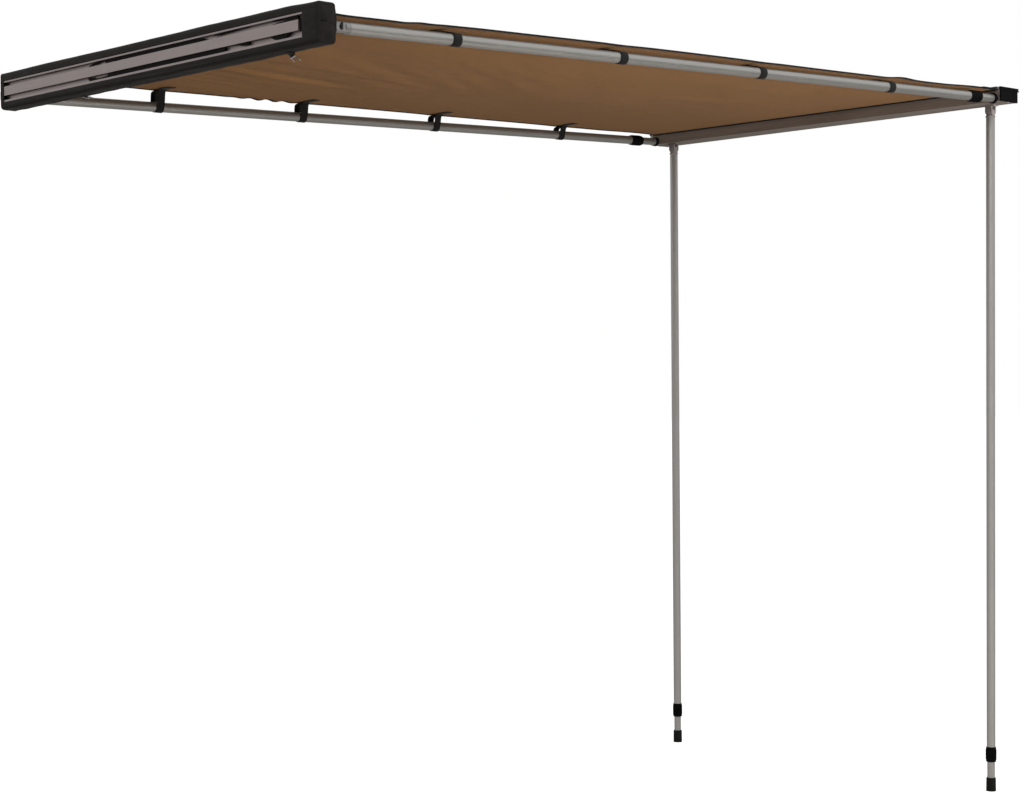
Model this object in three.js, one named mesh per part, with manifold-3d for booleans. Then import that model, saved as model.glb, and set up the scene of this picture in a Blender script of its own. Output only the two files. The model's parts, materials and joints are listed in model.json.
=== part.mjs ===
// Vehicle side awning, standing open: a slim case that bolts to a roof rack, a cloth canopy on two
// telescopic arms, a front rail, and two telescopic legs that fold against the rail.
// Millimetres. +X runs along the case, +Y away from the vehicle, +Z up. The origin is the middle of
// the backing plate's flat rear face. "near" pieces are at +X, "far" pieces at -X.
import * as THREE from 'three';
import { mergeVertices } from 'three/addons/utils/BufferGeometryUtils.js';
import Module from 'manifold-3d';

const wasm = await Module();
wasm.setup();

// Clearances
const GAP = 0.3; // between pieces that touch
const SLIDE_GAP = 0.4; // round a tube that slides

// Backing plate
const PLATE_LENGTH = 1122;
const PLATE_HEIGHT = 47;
const PLATE_WEB = 3.5; // metal in front of the slots
const SLOT_DEPTH = 8.5;
const SLOT_LIP = 2.2; // metal over a slot's wide part
const SLOT_UNDERCUT = 1.6; // how far the wide part runs behind each lip
const UPPER_EDGE = 3.5; // lip above the upper slot's mouth
const UPPER_SLOT_MOUTH = 8.8;
const LOWER_EDGE = 4.3; // lip below the lower slot's mouth
const LOWER_SLOT_MOUTH = 10;
const NOTCH_LENGTH = 12; // open end of each slot, where bolt heads go in

// Edge cord grooves that hold the canopy
const GROOVE_RADIUS = 4;
const GROOVE_WALL = 2;
const GROOVE_SLIT = 3;
const REAR_GROOVE_DROP = 4.5; // groove axis below the plate's top
const REAR_GROOVE_OUT = 4; // groove axis in front of the plate
const REAR_CORD_INSET = 6;

// Bag cover
const BAG_SKIN = 1.6;
const BAG_TOP = 37;
const BAG_BOTTOM = -38;
const BAG_DEPTH = 42;
const BAG_NEAR_OVERHANG = 49; // past the plate's near end
const BAG_FAR_OVERHANG = 14;
const BAG_CORNER = 5;
const MOUTH_TOP = 29;
const MOUTH_BOTTOM = -22;
const ZIP_WIDTH = 7;
const ZIP_THICKNESS = 1.4;

// Stow straps under the bag
const STOW_STRAP_AT = { near: 478, far: -268 };
const STOW_STRAP_WIDTH = 25;
const STOW_STRAP_DROP = 12;
const STOW_BUCKLE_LENGTH = 16;
const STOW_BUCKLE_HEIGHT = 9;
const STOW_BUCKLE_THICKNESS = 5;
const STOW_PRONG_LENGTH = 14;
const STOW_PRONG_WIDTH = 3.5;

// Arms
const ARM_PAST_PLATE = 37; // from the plate's end to the arm's axis
const PIVOT_Y = 56;
const PIVOT_Z = -4;
const ARM_TUBE_OD = 24;
const TUBE_WALL = 1;
const ARM_INNER_LENGTH = 900;
const ARM_INNER_SHOWN = 58;
const TONGUE_THICKNESS = 6;
const TONGUE_RADIUS = 9;
const BRACKET_THICKNESS = 4;
const BRACKET_REACH_IN = 60; // along the plate from its end
const BRACKET_BOLT_INSET = 24;
const BRACKET_BOLT_RISE = 3; // bolt above the pivot
const BOLT_START = 3.3; // where the bolt's hole starts, inside the plate
const BOLT_DIAMETER = 6;
const BOLT_HEAD_WIDTH = 13;
const BOLT_HEAD_HEIGHT = 4;
const PIN_DIAMETER = 8;
const PIN_HEAD_DIAMETER = 12;
const PIN_HEAD_HEIGHT = 2.1;
const FORK_FLAT = 10; // half width over the milled flats
const FORK_DEPTH = 12; // slot depth past the pin
const FORK_TIP = 11;
const KNUCKLE_LENGTH = 24;
const PLUG_LENGTH = 36;

// Twist locks
const ARM_COLLAR_LENGTH = 46;
const ARM_COLLAR_OD = 28.5;
const LEG_COLLAR_LENGTH = 40;
const LEG_COLLAR_OD = 26.6;
const COLLAR_LIP = 3.6;
const COLLAR_RIBS = 12;
const COLLAR_RIB_HEIGHT = 0.9;
const COLLAR_RIB_WIDTH = 2.4;
const BUSH_LENGTH = 13;
const BUSH_SLIT = 1.6;

// Front rail
const RAIL_Y = 2205; // its rear face
const RAIL_BOTTOM = 44;
const RAIL_WIDTH = 76;
const RAIL_HEIGHT = 36;
const RAIL_WALL = 2;
const RAIL_PAST_ARM = 22; // from the arm's axis to the outside of the end cap
const RAIL_GROOVE_Y = 6.5;
const RAIL_GROOVE_DROP = 6; // groove axis below the rail's top
const RAIL_LINE_DEPTH = 0.8;
const RAIL_LINE_HEIGHT = 1.6;
const CAP_THICKNESS = 3.2;
const CAP_LIP = 0.6;
const CAP_FLANGE_HEIGHT = 8;
const CAP_FLANGE_LIP = 3;
const CAP_PLUG_DEPTH = 12;
const ARM_ABOVE_RAIL_BOTTOM = 8;
const END_PLUG_FLANGE = 8;
const END_PLUG_FLANGE_OD = 27;
const END_PLUG_SPIGOT = 30;
const END_PLUG_NOSE_OD = 10;
const END_PLUG_NOSE_LENGTH = 20;

// Legs
const LEG_INSIDE_ARM = 48;
const LEG_MID_Y = 42; // middle of the two legs, from the rail's rear face
const LEG_STAGGER = 30; // so that they fold side by side
const LEG_TUBE_OD = 23;
const LEG_PIVOT_DROP = 16.6;
const LEG_TONGUE = 12;
const LEG_TONGUE_RADIUS = 9;
const LEG_CHEEK = 4;
const LEG_CHEEK_RADIUS = 10;
const LEG_BRACKET_BASE = 3;
const LEG_BRACKET_LENGTH = 34;
const LEG_PIN_HEAD_HEIGHT = 1.6;
const LEG_KNUCKLE_OD = 25.6;
const LEG_KNUCKLE_BODY = 5;
const LEG_INNER_LENGTH = 650;
const LEG_INNER_SHOWN = 42;
const GROUND_Z = -1770;
const FOOT_HEIGHT = 36;
const FOOT_OD = 26;
const FOOT_FLOOR = 6;

// Canopy
const CANOPY_THICKNESS = 1.2;
const CANOPY_PAST_ARM = 8; // from the arm's axis to the cloth's side edge
const CANOPY_ABOVE_ARM = 25; // at the near side
const CANOPY_FAR_RISE = 20; // how much higher the far side leaves the bag
const CANOPY_SAG = 10;
const CANOPY_LIFT_END = 90; // where the canopy has left the bag
const CANOPY_REAR_SEAM = 200;
const CANOPY_FRONT_PANEL = 205; // from the front seam to the rail
const CANOPY_FLAT_FRONT = 30; // flat run into the rail
const FOLD_HEIGHT = 4;
const FOLD_REACH = 420;
const FOLD_SPACING = 95;

// Tie straps that hold the canopy to the arms, placed as shares of the way to the front rail
const TIE_AT = { near: [0.157, 0.371, 0.578, 0.798], far: [0.197, 0.394, 0.599, 0.815] };
const TIE_WIDTH = 22;
const WEB_THICKNESS = 1.4;
const TIE_TAIL = 68;

// Worked out from the sizes above
const ARM_RAIL_Z = RAIL_BOTTOM + ARM_ABOVE_RAIL_BOTTOM;
const ARM_TILT = Math.atan2(ARM_RAIL_Z - PIVOT_Z, RAIL_Y - PIVOT_Y);
const ARM_LENGTH = Math.hypot(ARM_RAIL_Z - PIVOT_Z, RAIL_Y - PIVOT_Y);
const ARM_INNER_OD = ARM_TUBE_OD - 2 * TUBE_WALL - 2 * SLIDE_GAP;
const LEG_INNER_OD = LEG_TUBE_OD - 2 * TUBE_WALL - 2 * SLIDE_GAP;
const PLATE_END = PLATE_LENGTH / 2;
const PLATE_DEPTH = SLOT_DEPTH + PLATE_WEB;
const UPPER_SLOT_Z = PLATE_HEIGHT / 2 - UPPER_EDGE - UPPER_SLOT_MOUTH / 2;
const LOWER_SLOT_Z = -PLATE_HEIGHT / 2 + LOWER_EDGE + LOWER_SLOT_MOUTH / 2;
const REAR_GROOVE_Z = PLATE_HEIGHT / 2 - REAR_GROOVE_DROP;
const ARM_X = PLATE_END + ARM_PAST_PLATE;
const LEG_X = ARM_X - LEG_INSIDE_ARM;
const CANOPY_HALF_WIDTH = ARM_X + CANOPY_PAST_ARM;
const CANOPY_FRONT_SEAM = RAIL_Y - CANOPY_FRONT_PANEL;
const RAIL_TOP = RAIL_BOTTOM + RAIL_HEIGHT;
const RAIL_END = ARM_X + RAIL_PAST_ARM - CAP_THICKNESS - GAP;
const RAIL_GROOVE_Z = RAIL_TOP - RAIL_GROOVE_DROP;
const REAR_GROOVE_Y = PLATE_DEPTH + REAR_GROOVE_OUT;
const CORD_RADIUS = GROOVE_RADIUS - GAP;
const LEG_PIVOT_Z = RAIL_BOTTOM - LEG_PIVOT_DROP;
const LEG_KNUCKLE_TOP = LEG_CHEEK_RADIUS + GAP + 0.2; // below the pivot, clear of the cheeks
const BRACKET_FRONT = PLATE_DEPTH + GAP + BRACKET_THICKNESS;
const BRACKET_LOW = PIVOT_Z - TONGUE_RADIUS;
const BRACKET_BOLT_Z = PIVOT_Z + BRACKET_BOLT_RISE;
const BOLT_HOLE_RADIUS = BOLT_DIAMETER / 2 + GAP;
const PIN_HOLE_RADIUS = PIN_DIAMETER / 2 + GAP;

const ALUMINIUM = { color: 0xb9bbbd, roughness: 0.38, metalness: 0.9 };
const RAIL_GREY = { color: 0x8b8784, roughness: 0.5, metalness: 0.7 };
const STEEL = { color: 0xc9cbcc, roughness: 0.3, metalness: 1 };
const BLACK_PLASTIC = { color: 0x1b1b1c, roughness: 0.6, metalness: 0 };
const GREY_PLASTIC = { color: 0x77706e, roughness: 0.55, metalness: 0 };
const BAG_CLOTH = { color: 0x2a2829, roughness: 0.85, metalness: 0 };
const CANOPY_CLOTH = { color: 0x86673f, roughness: 0.9, metalness: 0 };
const WEBBING = { color: 0x1d1c1c, roughness: 0.95, metalness: 0 };

const awning = new THREE.Group();

// Shape helpers

// Turns any closed geometry into a solid with its faces pointing out.
function solid(geometry) {
  const bare = geometry.index ? geometry.toNonIndexed() : geometry.clone();
  for (const name of Object.keys(bare.attributes)) {
    if (name !== 'position') bare.deleteAttribute(name);
  }
  const merged = mergeVertices(bare, 1e-4);
  const points = merged.attributes.position;
  const index = Array.from(merged.index.array);
  const kept = [];
  let volume = 0;
  const corner = [new THREE.Vector3(), new THREE.Vector3(), new THREE.Vector3()];
  for (let i = 0; i < index.length; i += 3) {
    const [a, b, c] = index.slice(i, i + 3);
    if (a === b || b === c || c === a) continue;
    kept.push(a, b, c);
    [a, b, c].forEach((v, k) => corner[k].fromBufferAttribute(points, v));
    volume += corner[0].dot(corner[1].clone().cross(corner[2]));
  }
  if (volume < 0) {
    for (let i = 0; i < kept.length; i += 3) [kept[i], kept[i + 1]] = [kept[i + 1], kept[i]];
  }
  return new wasm.Manifold(new wasm.Mesh({
    numProp: 3,
    vertProperties: new Float32Array(points.array),
    triVerts: new Uint32Array(kept),
  }));
}

function geometryOf(body) {
  const mesh = body.getMesh();
  const geometry = new THREE.BufferGeometry();
  const points = new Float32Array(mesh.vertProperties);
  geometry.setAttribute('position', new THREE.BufferAttribute(points, 3));
  geometry.setIndex(Array.from(mesh.triVerts));
  const flat = geometry.toNonIndexed();
  flat.computeVertexNormals();
  return flat;
}

function add(parent, name, body, look) {
  const mesh = new THREE.Mesh(geometryOf(body), new THREE.MeshStandardMaterial(look));
  mesh.name = name;
  parent.add(mesh);
  return mesh;
}

// A box between two corners.
function box([x0, y0, z0], [x1, y1, z1]) {
  const geometry = new THREE.BoxGeometry(Math.abs(x1 - x0), Math.abs(y1 - y0), Math.abs(z1 - z0));
  geometry.translate((x0 + x1) / 2, (y0 + y1) / 2, (z0 + z1) / 2);
  return solid(geometry);
}

// A round bar along an axis from one point over a length.
function bar(axis, [x, y, z], length, radius, sides = 24) {
  const geometry = new THREE.CylinderGeometry(radius, radius, length, sides);
  geometry.translate(0, length / 2, 0);
  if (axis === 'x') geometry.rotateZ(-Math.PI / 2);
  if (axis === 'z') geometry.rotateX(Math.PI / 2);
  geometry.translate(x, y, z);
  return solid(geometry);
}

// A turned piece round local Y from [radius, height] pairs. A profile off the axis is closed on itself.
function turned(profile, sides = 28) {
  const points = profile.map(([r, h]) => new THREE.Vector2(r, h));
  const [first, last] = [profile[0], profile[profile.length - 1]];
  if (first[0] > 0 && (first[0] !== last[0] || first[1] !== last[1])) points.push(points[0].clone());
  return solid(new THREE.LatheGeometry(points, sides));
}

function ring(inner, outer, from, to, sides = 28) {
  return turned([[inner, from], [outer, from], [outer, to], [inner, to]], sides);
}

// A flat outline of [y, z] pairs drawn out along X.
function alongX(outline, from, to) {
  const shape = new THREE.Shape(outline.map(([y, z]) => new THREE.Vector2(y, z)));
  const geometry = new THREE.ExtrudeGeometry(shape, { depth: to - from, bevelEnabled: false, steps: 1 });
  const frame = new THREE.Matrix4().makeBasis(
    new THREE.Vector3(0, 1, 0), new THREE.Vector3(0, 0, 1), new THREE.Vector3(1, 0, 0));
  geometry.applyMatrix4(frame);
  geometry.translate(from, 0, 0);
  return solid(geometry);
}

// A flat outline of [x, z] pairs drawn out along Y.
function alongY(outline, from, to) {
  const shape = new THREE.Shape(outline.map(([x, z]) => new THREE.Vector2(x, z)));
  const geometry = new THREE.ExtrudeGeometry(shape, { depth: to - from, bevelEnabled: false, steps: 1 });
  geometry.rotateX(Math.PI / 2);
  geometry.translate(0, to, 0);
  return solid(geometry);
}

function arc([cy, cz], radius, from, to, steps) {
  const points = [];
  for (let i = 0; i <= steps; i += 1) {
    const angle = THREE.MathUtils.degToRad(from + ((to - from) * i) / steps);
    points.push([cy + radius * Math.cos(angle), cz + radius * Math.sin(angle)]);
  }
  return points;
}

// The outline of a skin of even thickness on the left of an open line.
function skinOutline(line, thickness) {
  const inner = line.map((point, i) => {
    const before = line[Math.max(i - 1, 0)];
    const after = line[Math.min(i + 1, line.length - 1)];
    const runs = [[before, point], [point, after]].map(([a, b]) => [b[0] - a[0], b[1] - a[1]]);
    const real = runs.filter(([y, z]) => Math.hypot(y, z) > 0);
    const normals = real.map(([y, z]) => new THREE.Vector2(-z, y).normalize());
    const mean = normals.reduce((sum, n) => sum.add(n.clone()), new THREE.Vector2()).normalize();
    const reach = thickness / mean.dot(normals[0]);
    return [point[0] + mean.x * reach, point[1] + mean.y * reach];
  });
  return [...line, ...inner.reverse()];
}

// A closed sheet over a grid: across(y) gives the two side edges, height(x, y) its top.
function sheet(across, rows, columns, height, thickness) {
  const points = [];
  for (const drop of [0, thickness]) {
    for (const y of rows) {
      const [x0, x1] = across(y);
      for (let i = 0; i <= columns; i += 1) {
        const x = x0 + ((x1 - x0) * i) / columns;
        points.push(x, y, height(x, y) - drop);
      }
    }
  }
  const wide = columns + 1;
  const layer = wide * rows.length;
  const faces = [];
  const quad = (a, b, c, d) => faces.push(a, b, c, a, c, d);
  for (let j = 0; j < rows.length - 1; j += 1) {
    for (let i = 0; i < columns; i += 1) {
      const a = j * wide + i;
      quad(a, a + 1, a + wide + 1, a + wide);
      quad(layer + a, layer + a + wide, layer + a + wide + 1, layer + a + 1);
    }
  }
  const last = (rows.length - 1) * wide;
  for (let i = 0; i < columns; i += 1) {
    quad(layer + i, layer + i + 1, i + 1, i);
    quad(last + i, last + i + 1, layer + last + i + 1, layer + last + i);
  }
  for (let j = 0; j < rows.length - 1; j += 1) {
    const left = j * wide;
    const right = left + columns;
    quad(left, left + wide, layer + left + wide, layer + left);
    quad(layer + right, layer + right + wide, right + wide, right);
  }
  const geometry = new THREE.BufferGeometry();
  geometry.setAttribute('position', new THREE.BufferAttribute(new Float32Array(points), 3));
  geometry.setIndex(faces);
  return solid(geometry);
}

function steps(from, to, count) {
  return Array.from({ length: count + 1 }, (_, i) => from + ((to - from) * i) / count);
}

const ENDS = [['near', 1], ['far', -1]];

// Backing plate with two bolt slots and a groove for the canopy's edge cord
function backingPlate() {
  const half = PLATE_HEIGHT / 2;
  let plate = box([-PLATE_END, 0, -half], [PLATE_END, PLATE_DEPTH, half]);
  const rim = GROOVE_RADIUS + GROOVE_WALL;
  plate = plate.add(bar('x', [-PLATE_END, REAR_GROOVE_Y, REAR_GROOVE_Z], PLATE_LENGTH, rim));
  plate = plate.add(box([-PLATE_END, PLATE_DEPTH - 1, REAR_GROOVE_Z - GROOVE_WALL],
    [PLATE_END, REAR_GROOVE_Y, REAR_GROOVE_Z + GROOVE_WALL]));
  const bore = bar('x', [-PLATE_END - 1, REAR_GROOVE_Y, REAR_GROOVE_Z], PLATE_LENGTH + 2, GROOVE_RADIUS);
  plate = plate.subtract(bore);
  plate = plate.subtract(box([-PLATE_END - 1, REAR_GROOVE_Y, REAR_GROOVE_Z - GROOVE_SLIT / 2],
    [PLATE_END + 1, REAR_GROOVE_Y + rim + 1, REAR_GROOVE_Z + GROOVE_SLIT / 2]));
  const past = PLATE_END + 1;
  const notch = PLATE_END - NOTCH_LENGTH;
  for (const [z, mouth] of [[UPPER_SLOT_Z, UPPER_SLOT_MOUTH], [LOWER_SLOT_Z, LOWER_SLOT_MOUTH]]) {
    const open = mouth / 2;
    const wide = open + SLOT_UNDERCUT;
    plate = plate.subtract(box([-past, -1, z - open], [past, SLOT_DEPTH, z + open]));
    plate = plate.subtract(box([-past, SLOT_LIP, z - wide], [past, SLOT_DEPTH, z + wide]));
    plate = plate.subtract(box([-past, -1, z - open], [-notch, PLATE_DEPTH - 1, z + open]));
  }
  // The rib between the slots is cut back at the near end.
  plate = plate.subtract(box([notch, -1, LOWER_SLOT_Z], [past, SLOT_DEPTH, UPPER_SLOT_Z]));
  for (const [, side] of ENDS) {
    const boltX = side * (PLATE_END - BRACKET_BOLT_INSET);
    const boltHole = bar('y', [boltX, BOLT_START, BRACKET_BOLT_Z], PLATE_DEPTH, BOLT_HOLE_RADIUS);
    plate = plate.subtract(boltHole);
  }
  return plate;
}

// Bag cover: a top and a bottom panel with rounded edges, and an end panel at each end
function bagTop() {
  const line = [
    [0, PLATE_HEIGHT / 2 + GAP],
    ...arc([BAG_CORNER, BAG_TOP - BAG_CORNER], BAG_CORNER, 180, 90, 3),
    ...arc([BAG_DEPTH - BAG_CORNER, BAG_TOP - BAG_CORNER], BAG_CORNER, 90, 0, 3),
    [BAG_DEPTH, MOUTH_TOP],
  ];
  return skinOutline(line.reverse(), BAG_SKIN);
}

function bagBottom() {
  const line = [
    [0, -PLATE_HEIGHT / 2 - GAP],
    ...arc([BAG_CORNER, BAG_BOTTOM + BAG_CORNER], BAG_CORNER, 180, 270, 3),
    ...arc([BAG_DEPTH - BAG_CORNER, BAG_BOTTOM + BAG_CORNER], BAG_CORNER, 270, 360, 3),
    [BAG_DEPTH, MOUTH_BOTTOM],
  ];
  return skinOutline(line, BAG_SKIN);
}

const BAG_ENDS = {
  near: PLATE_END + BAG_NEAR_OVERHANG,
  far: -PLATE_END - BAG_FAR_OVERHANG,
};

function bagEnd(side) {
  const outer = side > 0 ? BAG_ENDS.near : BAG_ENDS.far;
  const inner = outer - side * BAG_SKIN;
  const outline = [
    ...arc([BAG_DEPTH - BAG_CORNER, BAG_BOTTOM + BAG_CORNER], BAG_CORNER, 270, 360, 3),
    ...arc([BAG_DEPTH - BAG_CORNER, BAG_TOP - BAG_CORNER], BAG_CORNER, 0, 90, 3),
    ...arc([BAG_CORNER, BAG_TOP - BAG_CORNER], BAG_CORNER, 90, 180, 3),
    ...arc([BAG_CORNER, BAG_BOTTOM + BAG_CORNER], BAG_CORNER, 180, 270, 3),
  ];
  let panel = alongX(outline, Math.min(inner, outer), Math.max(inner, outer));
  const rearEdge = PLATE_HEIGHT / 2 - GAP;
  panel = panel.add(box([side * (PLATE_END + GAP), 0, -rearEdge],
    [outer - side * BAG_SKIN / 2, BAG_SKIN, rearEdge]));
  if (Math.abs(outer) < ARM_X + TONGUE_THICKNESS) {
    const room = 2 * GAP;
    panel = panel.subtract(box([outer - 4, PLATE_DEPTH + GAP - room, BRACKET_LOW - room],
      [outer + 4, BRACKET_FRONT + room, PIVOT_Z + TONGUE_RADIUS + room]));
  }
  return panel;
}

function buildCase() {
  add(awning, 'backing_plate', backingPlate(), ALUMINIUM);
  const from = BAG_ENDS.far + BAG_SKIN + GAP;
  const to = BAG_ENDS.near - BAG_SKIN - GAP;
  add(awning, 'bag_top_panel', alongX(bagTop(), from, to), BAG_CLOTH);
  add(awning, 'bag_bottom_panel', alongX(bagBottom(), from, to), BAG_CLOTH);
  for (const [end, side] of ENDS) add(awning, `bag_end_${end}`, bagEnd(side), BAG_CLOTH);
  const zipY = BAG_DEPTH + GAP;
  add(awning, 'bag_zip', box([from, zipY, MOUTH_BOTTOM - ZIP_WIDTH],
    [to, zipY + ZIP_THICKNESS, MOUTH_BOTTOM]), BLACK_PLASTIC);
  const cord = PLATE_END - REAR_CORD_INSET;
  const rearCord = bar('x', [-cord, REAR_GROOVE_Y, REAR_GROOVE_Z], 2 * cord, CORD_RADIUS, 16);
  add(awning, 'rear_edge_cord', rearCord, WEBBING);
}

// Stow straps: webbing hanging from the bag's underside, each with a pronged buckle half
function buildStowStrap(end, x) {
  const top = BAG_BOTTOM - GAP;
  const y = BAG_DEPTH - BAG_CORNER;
  const low = top - STOW_STRAP_DROP;
  const half = STOW_STRAP_WIDTH / 2;
  let strap = box([x - half, y - 14, top - WEB_THICKNESS], [x + half, y, top]);
  strap = strap.add(box([x - half, y - WEB_THICKNESS, low], [x + half, y, top]));
  add(awning, `stow_strap_${end}`, strap, WEBBING);
  const front = y + GAP + STOW_BUCKLE_THICKNESS;
  const buckleTop = top - 3;
  const left = x + half - STOW_BUCKLE_LENGTH;
  let buckle = box([left, y + GAP, buckleTop - STOW_BUCKLE_HEIGHT], [x + half, front, buckleTop]);
  for (const z of [buckleTop - STOW_PRONG_WIDTH, buckleTop - STOW_BUCKLE_HEIGHT]) {
    buckle = buckle.add(box([x + half - 1, y + GAP + 1, z],
      [x + half + STOW_PRONG_LENGTH, front - 1, z + STOW_PRONG_WIDTH]));
  }
  add(awning, `stow_buckle_${end}`, buckle, STEEL);
}

// Arm brackets: a flat bar bolted to the plate, with a tongue that carries the arm's pin
function buildArmBracket(end, side) {
  const back = PLATE_DEPTH + GAP;
  const high = PIVOT_Z + TONGUE_RADIUS;
  const tip = ARM_X + TONGUE_THICKNESS / 2;
  const start = PLATE_END - BRACKET_REACH_IN;
  let bracket = box([side * start, back, BRACKET_LOW], [side * tip, BRACKET_FRONT, high]);
  const tongue = [[back, BRACKET_LOW], ...arc([PIVOT_Y, PIVOT_Z], TONGUE_RADIUS, -90, 90, 10), [back, high]];
  const x0 = side * ARM_X - TONGUE_THICKNESS / 2;
  bracket = bracket.add(alongX(tongue, x0, x0 + TONGUE_THICKNESS));
  bracket = bracket.subtract(bar('x', [x0 - 1, PIVOT_Y, PIVOT_Z], TONGUE_THICKNESS + 2, PIN_HOLE_RADIUS));
  const boltX = side * (PLATE_END - BRACKET_BOLT_INSET);
  const boltHole = bar('y', [boltX, back - 1, BRACKET_BOLT_Z], BRACKET_THICKNESS + 2, BOLT_HOLE_RADIUS);
  bracket = bracket.subtract(boltHole);
  add(awning, `arm_bracket_${end}`, bracket, ALUMINIUM);

  const seat = BRACKET_FRONT + GAP;
  const head = bar('y', [boltX, seat, BRACKET_BOLT_Z], BOLT_HEAD_HEIGHT, BOLT_HEAD_WIDTH / 2, 6);
  const shank = bar('y', [boltX, BOLT_START + GAP, BRACKET_BOLT_Z], seat - BOLT_START, BOLT_DIAMETER / 2, 16);
  add(awning, `bracket_bolt_${end}`, head.add(shank), STEEL);

  const pinHalf = FORK_FLAT + GAP;
  const pin = turned([
    [0, -pinHalf - PIN_HEAD_HEIGHT], [PIN_HEAD_DIAMETER / 2, -pinHalf - PIN_HEAD_HEIGHT],
    [PIN_HEAD_DIAMETER / 2, -pinHalf], [PIN_DIAMETER / 2, -pinHalf], [PIN_DIAMETER / 2, pinHalf],
    [PIN_HEAD_DIAMETER / 2, pinHalf], [PIN_HEAD_DIAMETER / 2, pinHalf + PIN_HEAD_HEIGHT],
    [0, pinHalf + PIN_HEAD_HEIGHT],
  ], 20);
  const mesh = add(awning, `arm_pin_${end}`, pin, STEEL);
  mesh.rotation.z = -Math.PI / 2;
  mesh.position.set(side * ARM_X, PIVOT_Y, PIVOT_Z);
}

// Twist lock: a ribbed collar over the outer tube's mouth, with a split bush that grips the inner tube.
// Both run along local Y from the collar's start towards the inner tube.
function twistLock(tubeOd, innerOd, length, collarOd) {
  const bore = tubeOd / 2 + GAP;
  const throat = innerOd / 2 + SLIDE_GAP;
  const rim = collarOd / 2;
  let collar = turned([
    [bore, 0], [rim - 0.8, 0], [rim, 1], [rim, length - 1.5], [rim - 1.5, length], [throat, length],
    [throat, length - COLLAR_LIP], [bore, length - COLLAR_LIP],
  ]);
  for (let i = 0; i < COLLAR_RIBS; i += 1) {
    const rib = new THREE.BoxGeometry(COLLAR_RIB_WIDTH, length - 12, COLLAR_RIB_HEIGHT + 1);
    rib.translate(0, length / 2, rim + (COLLAR_RIB_HEIGHT - 1) / 2);
    rib.rotateY((i * 2 * Math.PI) / COLLAR_RIBS);
    collar = collar.add(solid(rib));
  }
  const bushEnd = length - COLLAR_LIP - GAP;
  const bushStart = bushEnd - BUSH_LENGTH;
  let bush = ring(innerOd / 2 + GAP, tubeOd / 2, bushStart, bushEnd);
  bush = bush.subtract(box([-BUSH_SLIT / 2, bushStart - 1, 0], [BUSH_SLIT / 2, bushEnd + 1, tubeOd]));
  return { collar, bush, tubeEnd: bushStart - GAP };
}

// Arms: everything lies along local Y of a group that tilts about the pin
function buildArm(end, side) {
  const arm = new THREE.Group();
  arm.position.set(side * ARM_X, PIVOT_Y, PIVOT_Z);
  arm.rotation.x = ARM_TILT;
  awning.add(arm);

  const radius = ARM_TUBE_OD / 2;
  const plug = radius - TUBE_WALL - GAP;
  const plugEnd = KNUCKLE_LENGTH + PLUG_LENGTH;
  let knuckle = turned([
    [0, -FORK_TIP], [radius - 2, -FORK_TIP], [radius, -FORK_TIP + 2], [radius, KNUCKLE_LENGTH - GAP],
    [plug, KNUCKLE_LENGTH - GAP], [plug, plugEnd - 2], [plug - 2, plugEnd], [0, plugEnd],
  ]);
  const slot = TONGUE_THICKNESS / 2 + GAP;
  knuckle = knuckle.subtract(box([-slot, -FORK_TIP - 1, -radius - 1], [slot, FORK_DEPTH, radius + 1]));
  for (const [, face] of ENDS) {
    knuckle = knuckle.subtract(box([face * FORK_FLAT, -FORK_TIP - 1, -radius - 1],
      [face * (radius + 1), FORK_DEPTH, radius + 1]));
  }
  knuckle = knuckle.subtract(bar('x', [-radius - 1, 0, 0], 2 * radius + 2, PIN_HOLE_RADIUS));
  add(arm, `arm_knuckle_${end}`, knuckle, ALUMINIUM);

  const { collar, bush, tubeEnd } = twistLock(ARM_TUBE_OD, ARM_INNER_OD, ARM_COLLAR_LENGTH, ARM_COLLAR_OD);
  const flangeEnd = ARM_LENGTH - GAP - (END_PLUG_FLANGE_OD / 2) * Math.tan(ARM_TILT);
  const flangeStart = flangeEnd - END_PLUG_FLANGE;
  const collarStart = flangeStart - ARM_INNER_SHOWN - ARM_COLLAR_LENGTH;
  const outerTube = ring(radius - TUBE_WALL, radius, KNUCKLE_LENGTH, collarStart + tubeEnd);
  add(arm, `arm_tube_${end}`, outerTube, ALUMINIUM);
  add(arm, `arm_twist_collar_${end}`, collar, BLACK_PLASTIC).position.y = collarStart;
  add(arm, `arm_clamp_bush_${end}`, bush, GREY_PLASTIC).position.y = collarStart;

  const inner = ARM_INNER_OD / 2;
  const tubeFront = flangeStart - GAP;
  const innerTube = ring(inner - TUBE_WALL, inner, tubeFront - ARM_INNER_LENGTH, tubeFront);
  add(arm, `arm_inner_tube_${end}`, innerTube, ALUMINIUM);
  const spigot = inner - TUBE_WALL - GAP;
  add(arm, `arm_end_plug_${end}`, turned([
    [0, flangeStart - END_PLUG_SPIGOT], [spigot - 1.5, flangeStart - END_PLUG_SPIGOT],
    [spigot, flangeStart - END_PLUG_SPIGOT + 1.5], [spigot, flangeStart],
    [END_PLUG_FLANGE_OD / 2, flangeStart],
    [END_PLUG_FLANGE_OD / 2, flangeEnd], [END_PLUG_NOSE_OD / 2, flangeEnd],
    [END_PLUG_NOSE_OD / 2, flangeEnd + END_PLUG_NOSE_LENGTH], [0, flangeEnd + END_PLUG_NOSE_LENGTH],
  ]), BLACK_PLASTIC);
}

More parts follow.
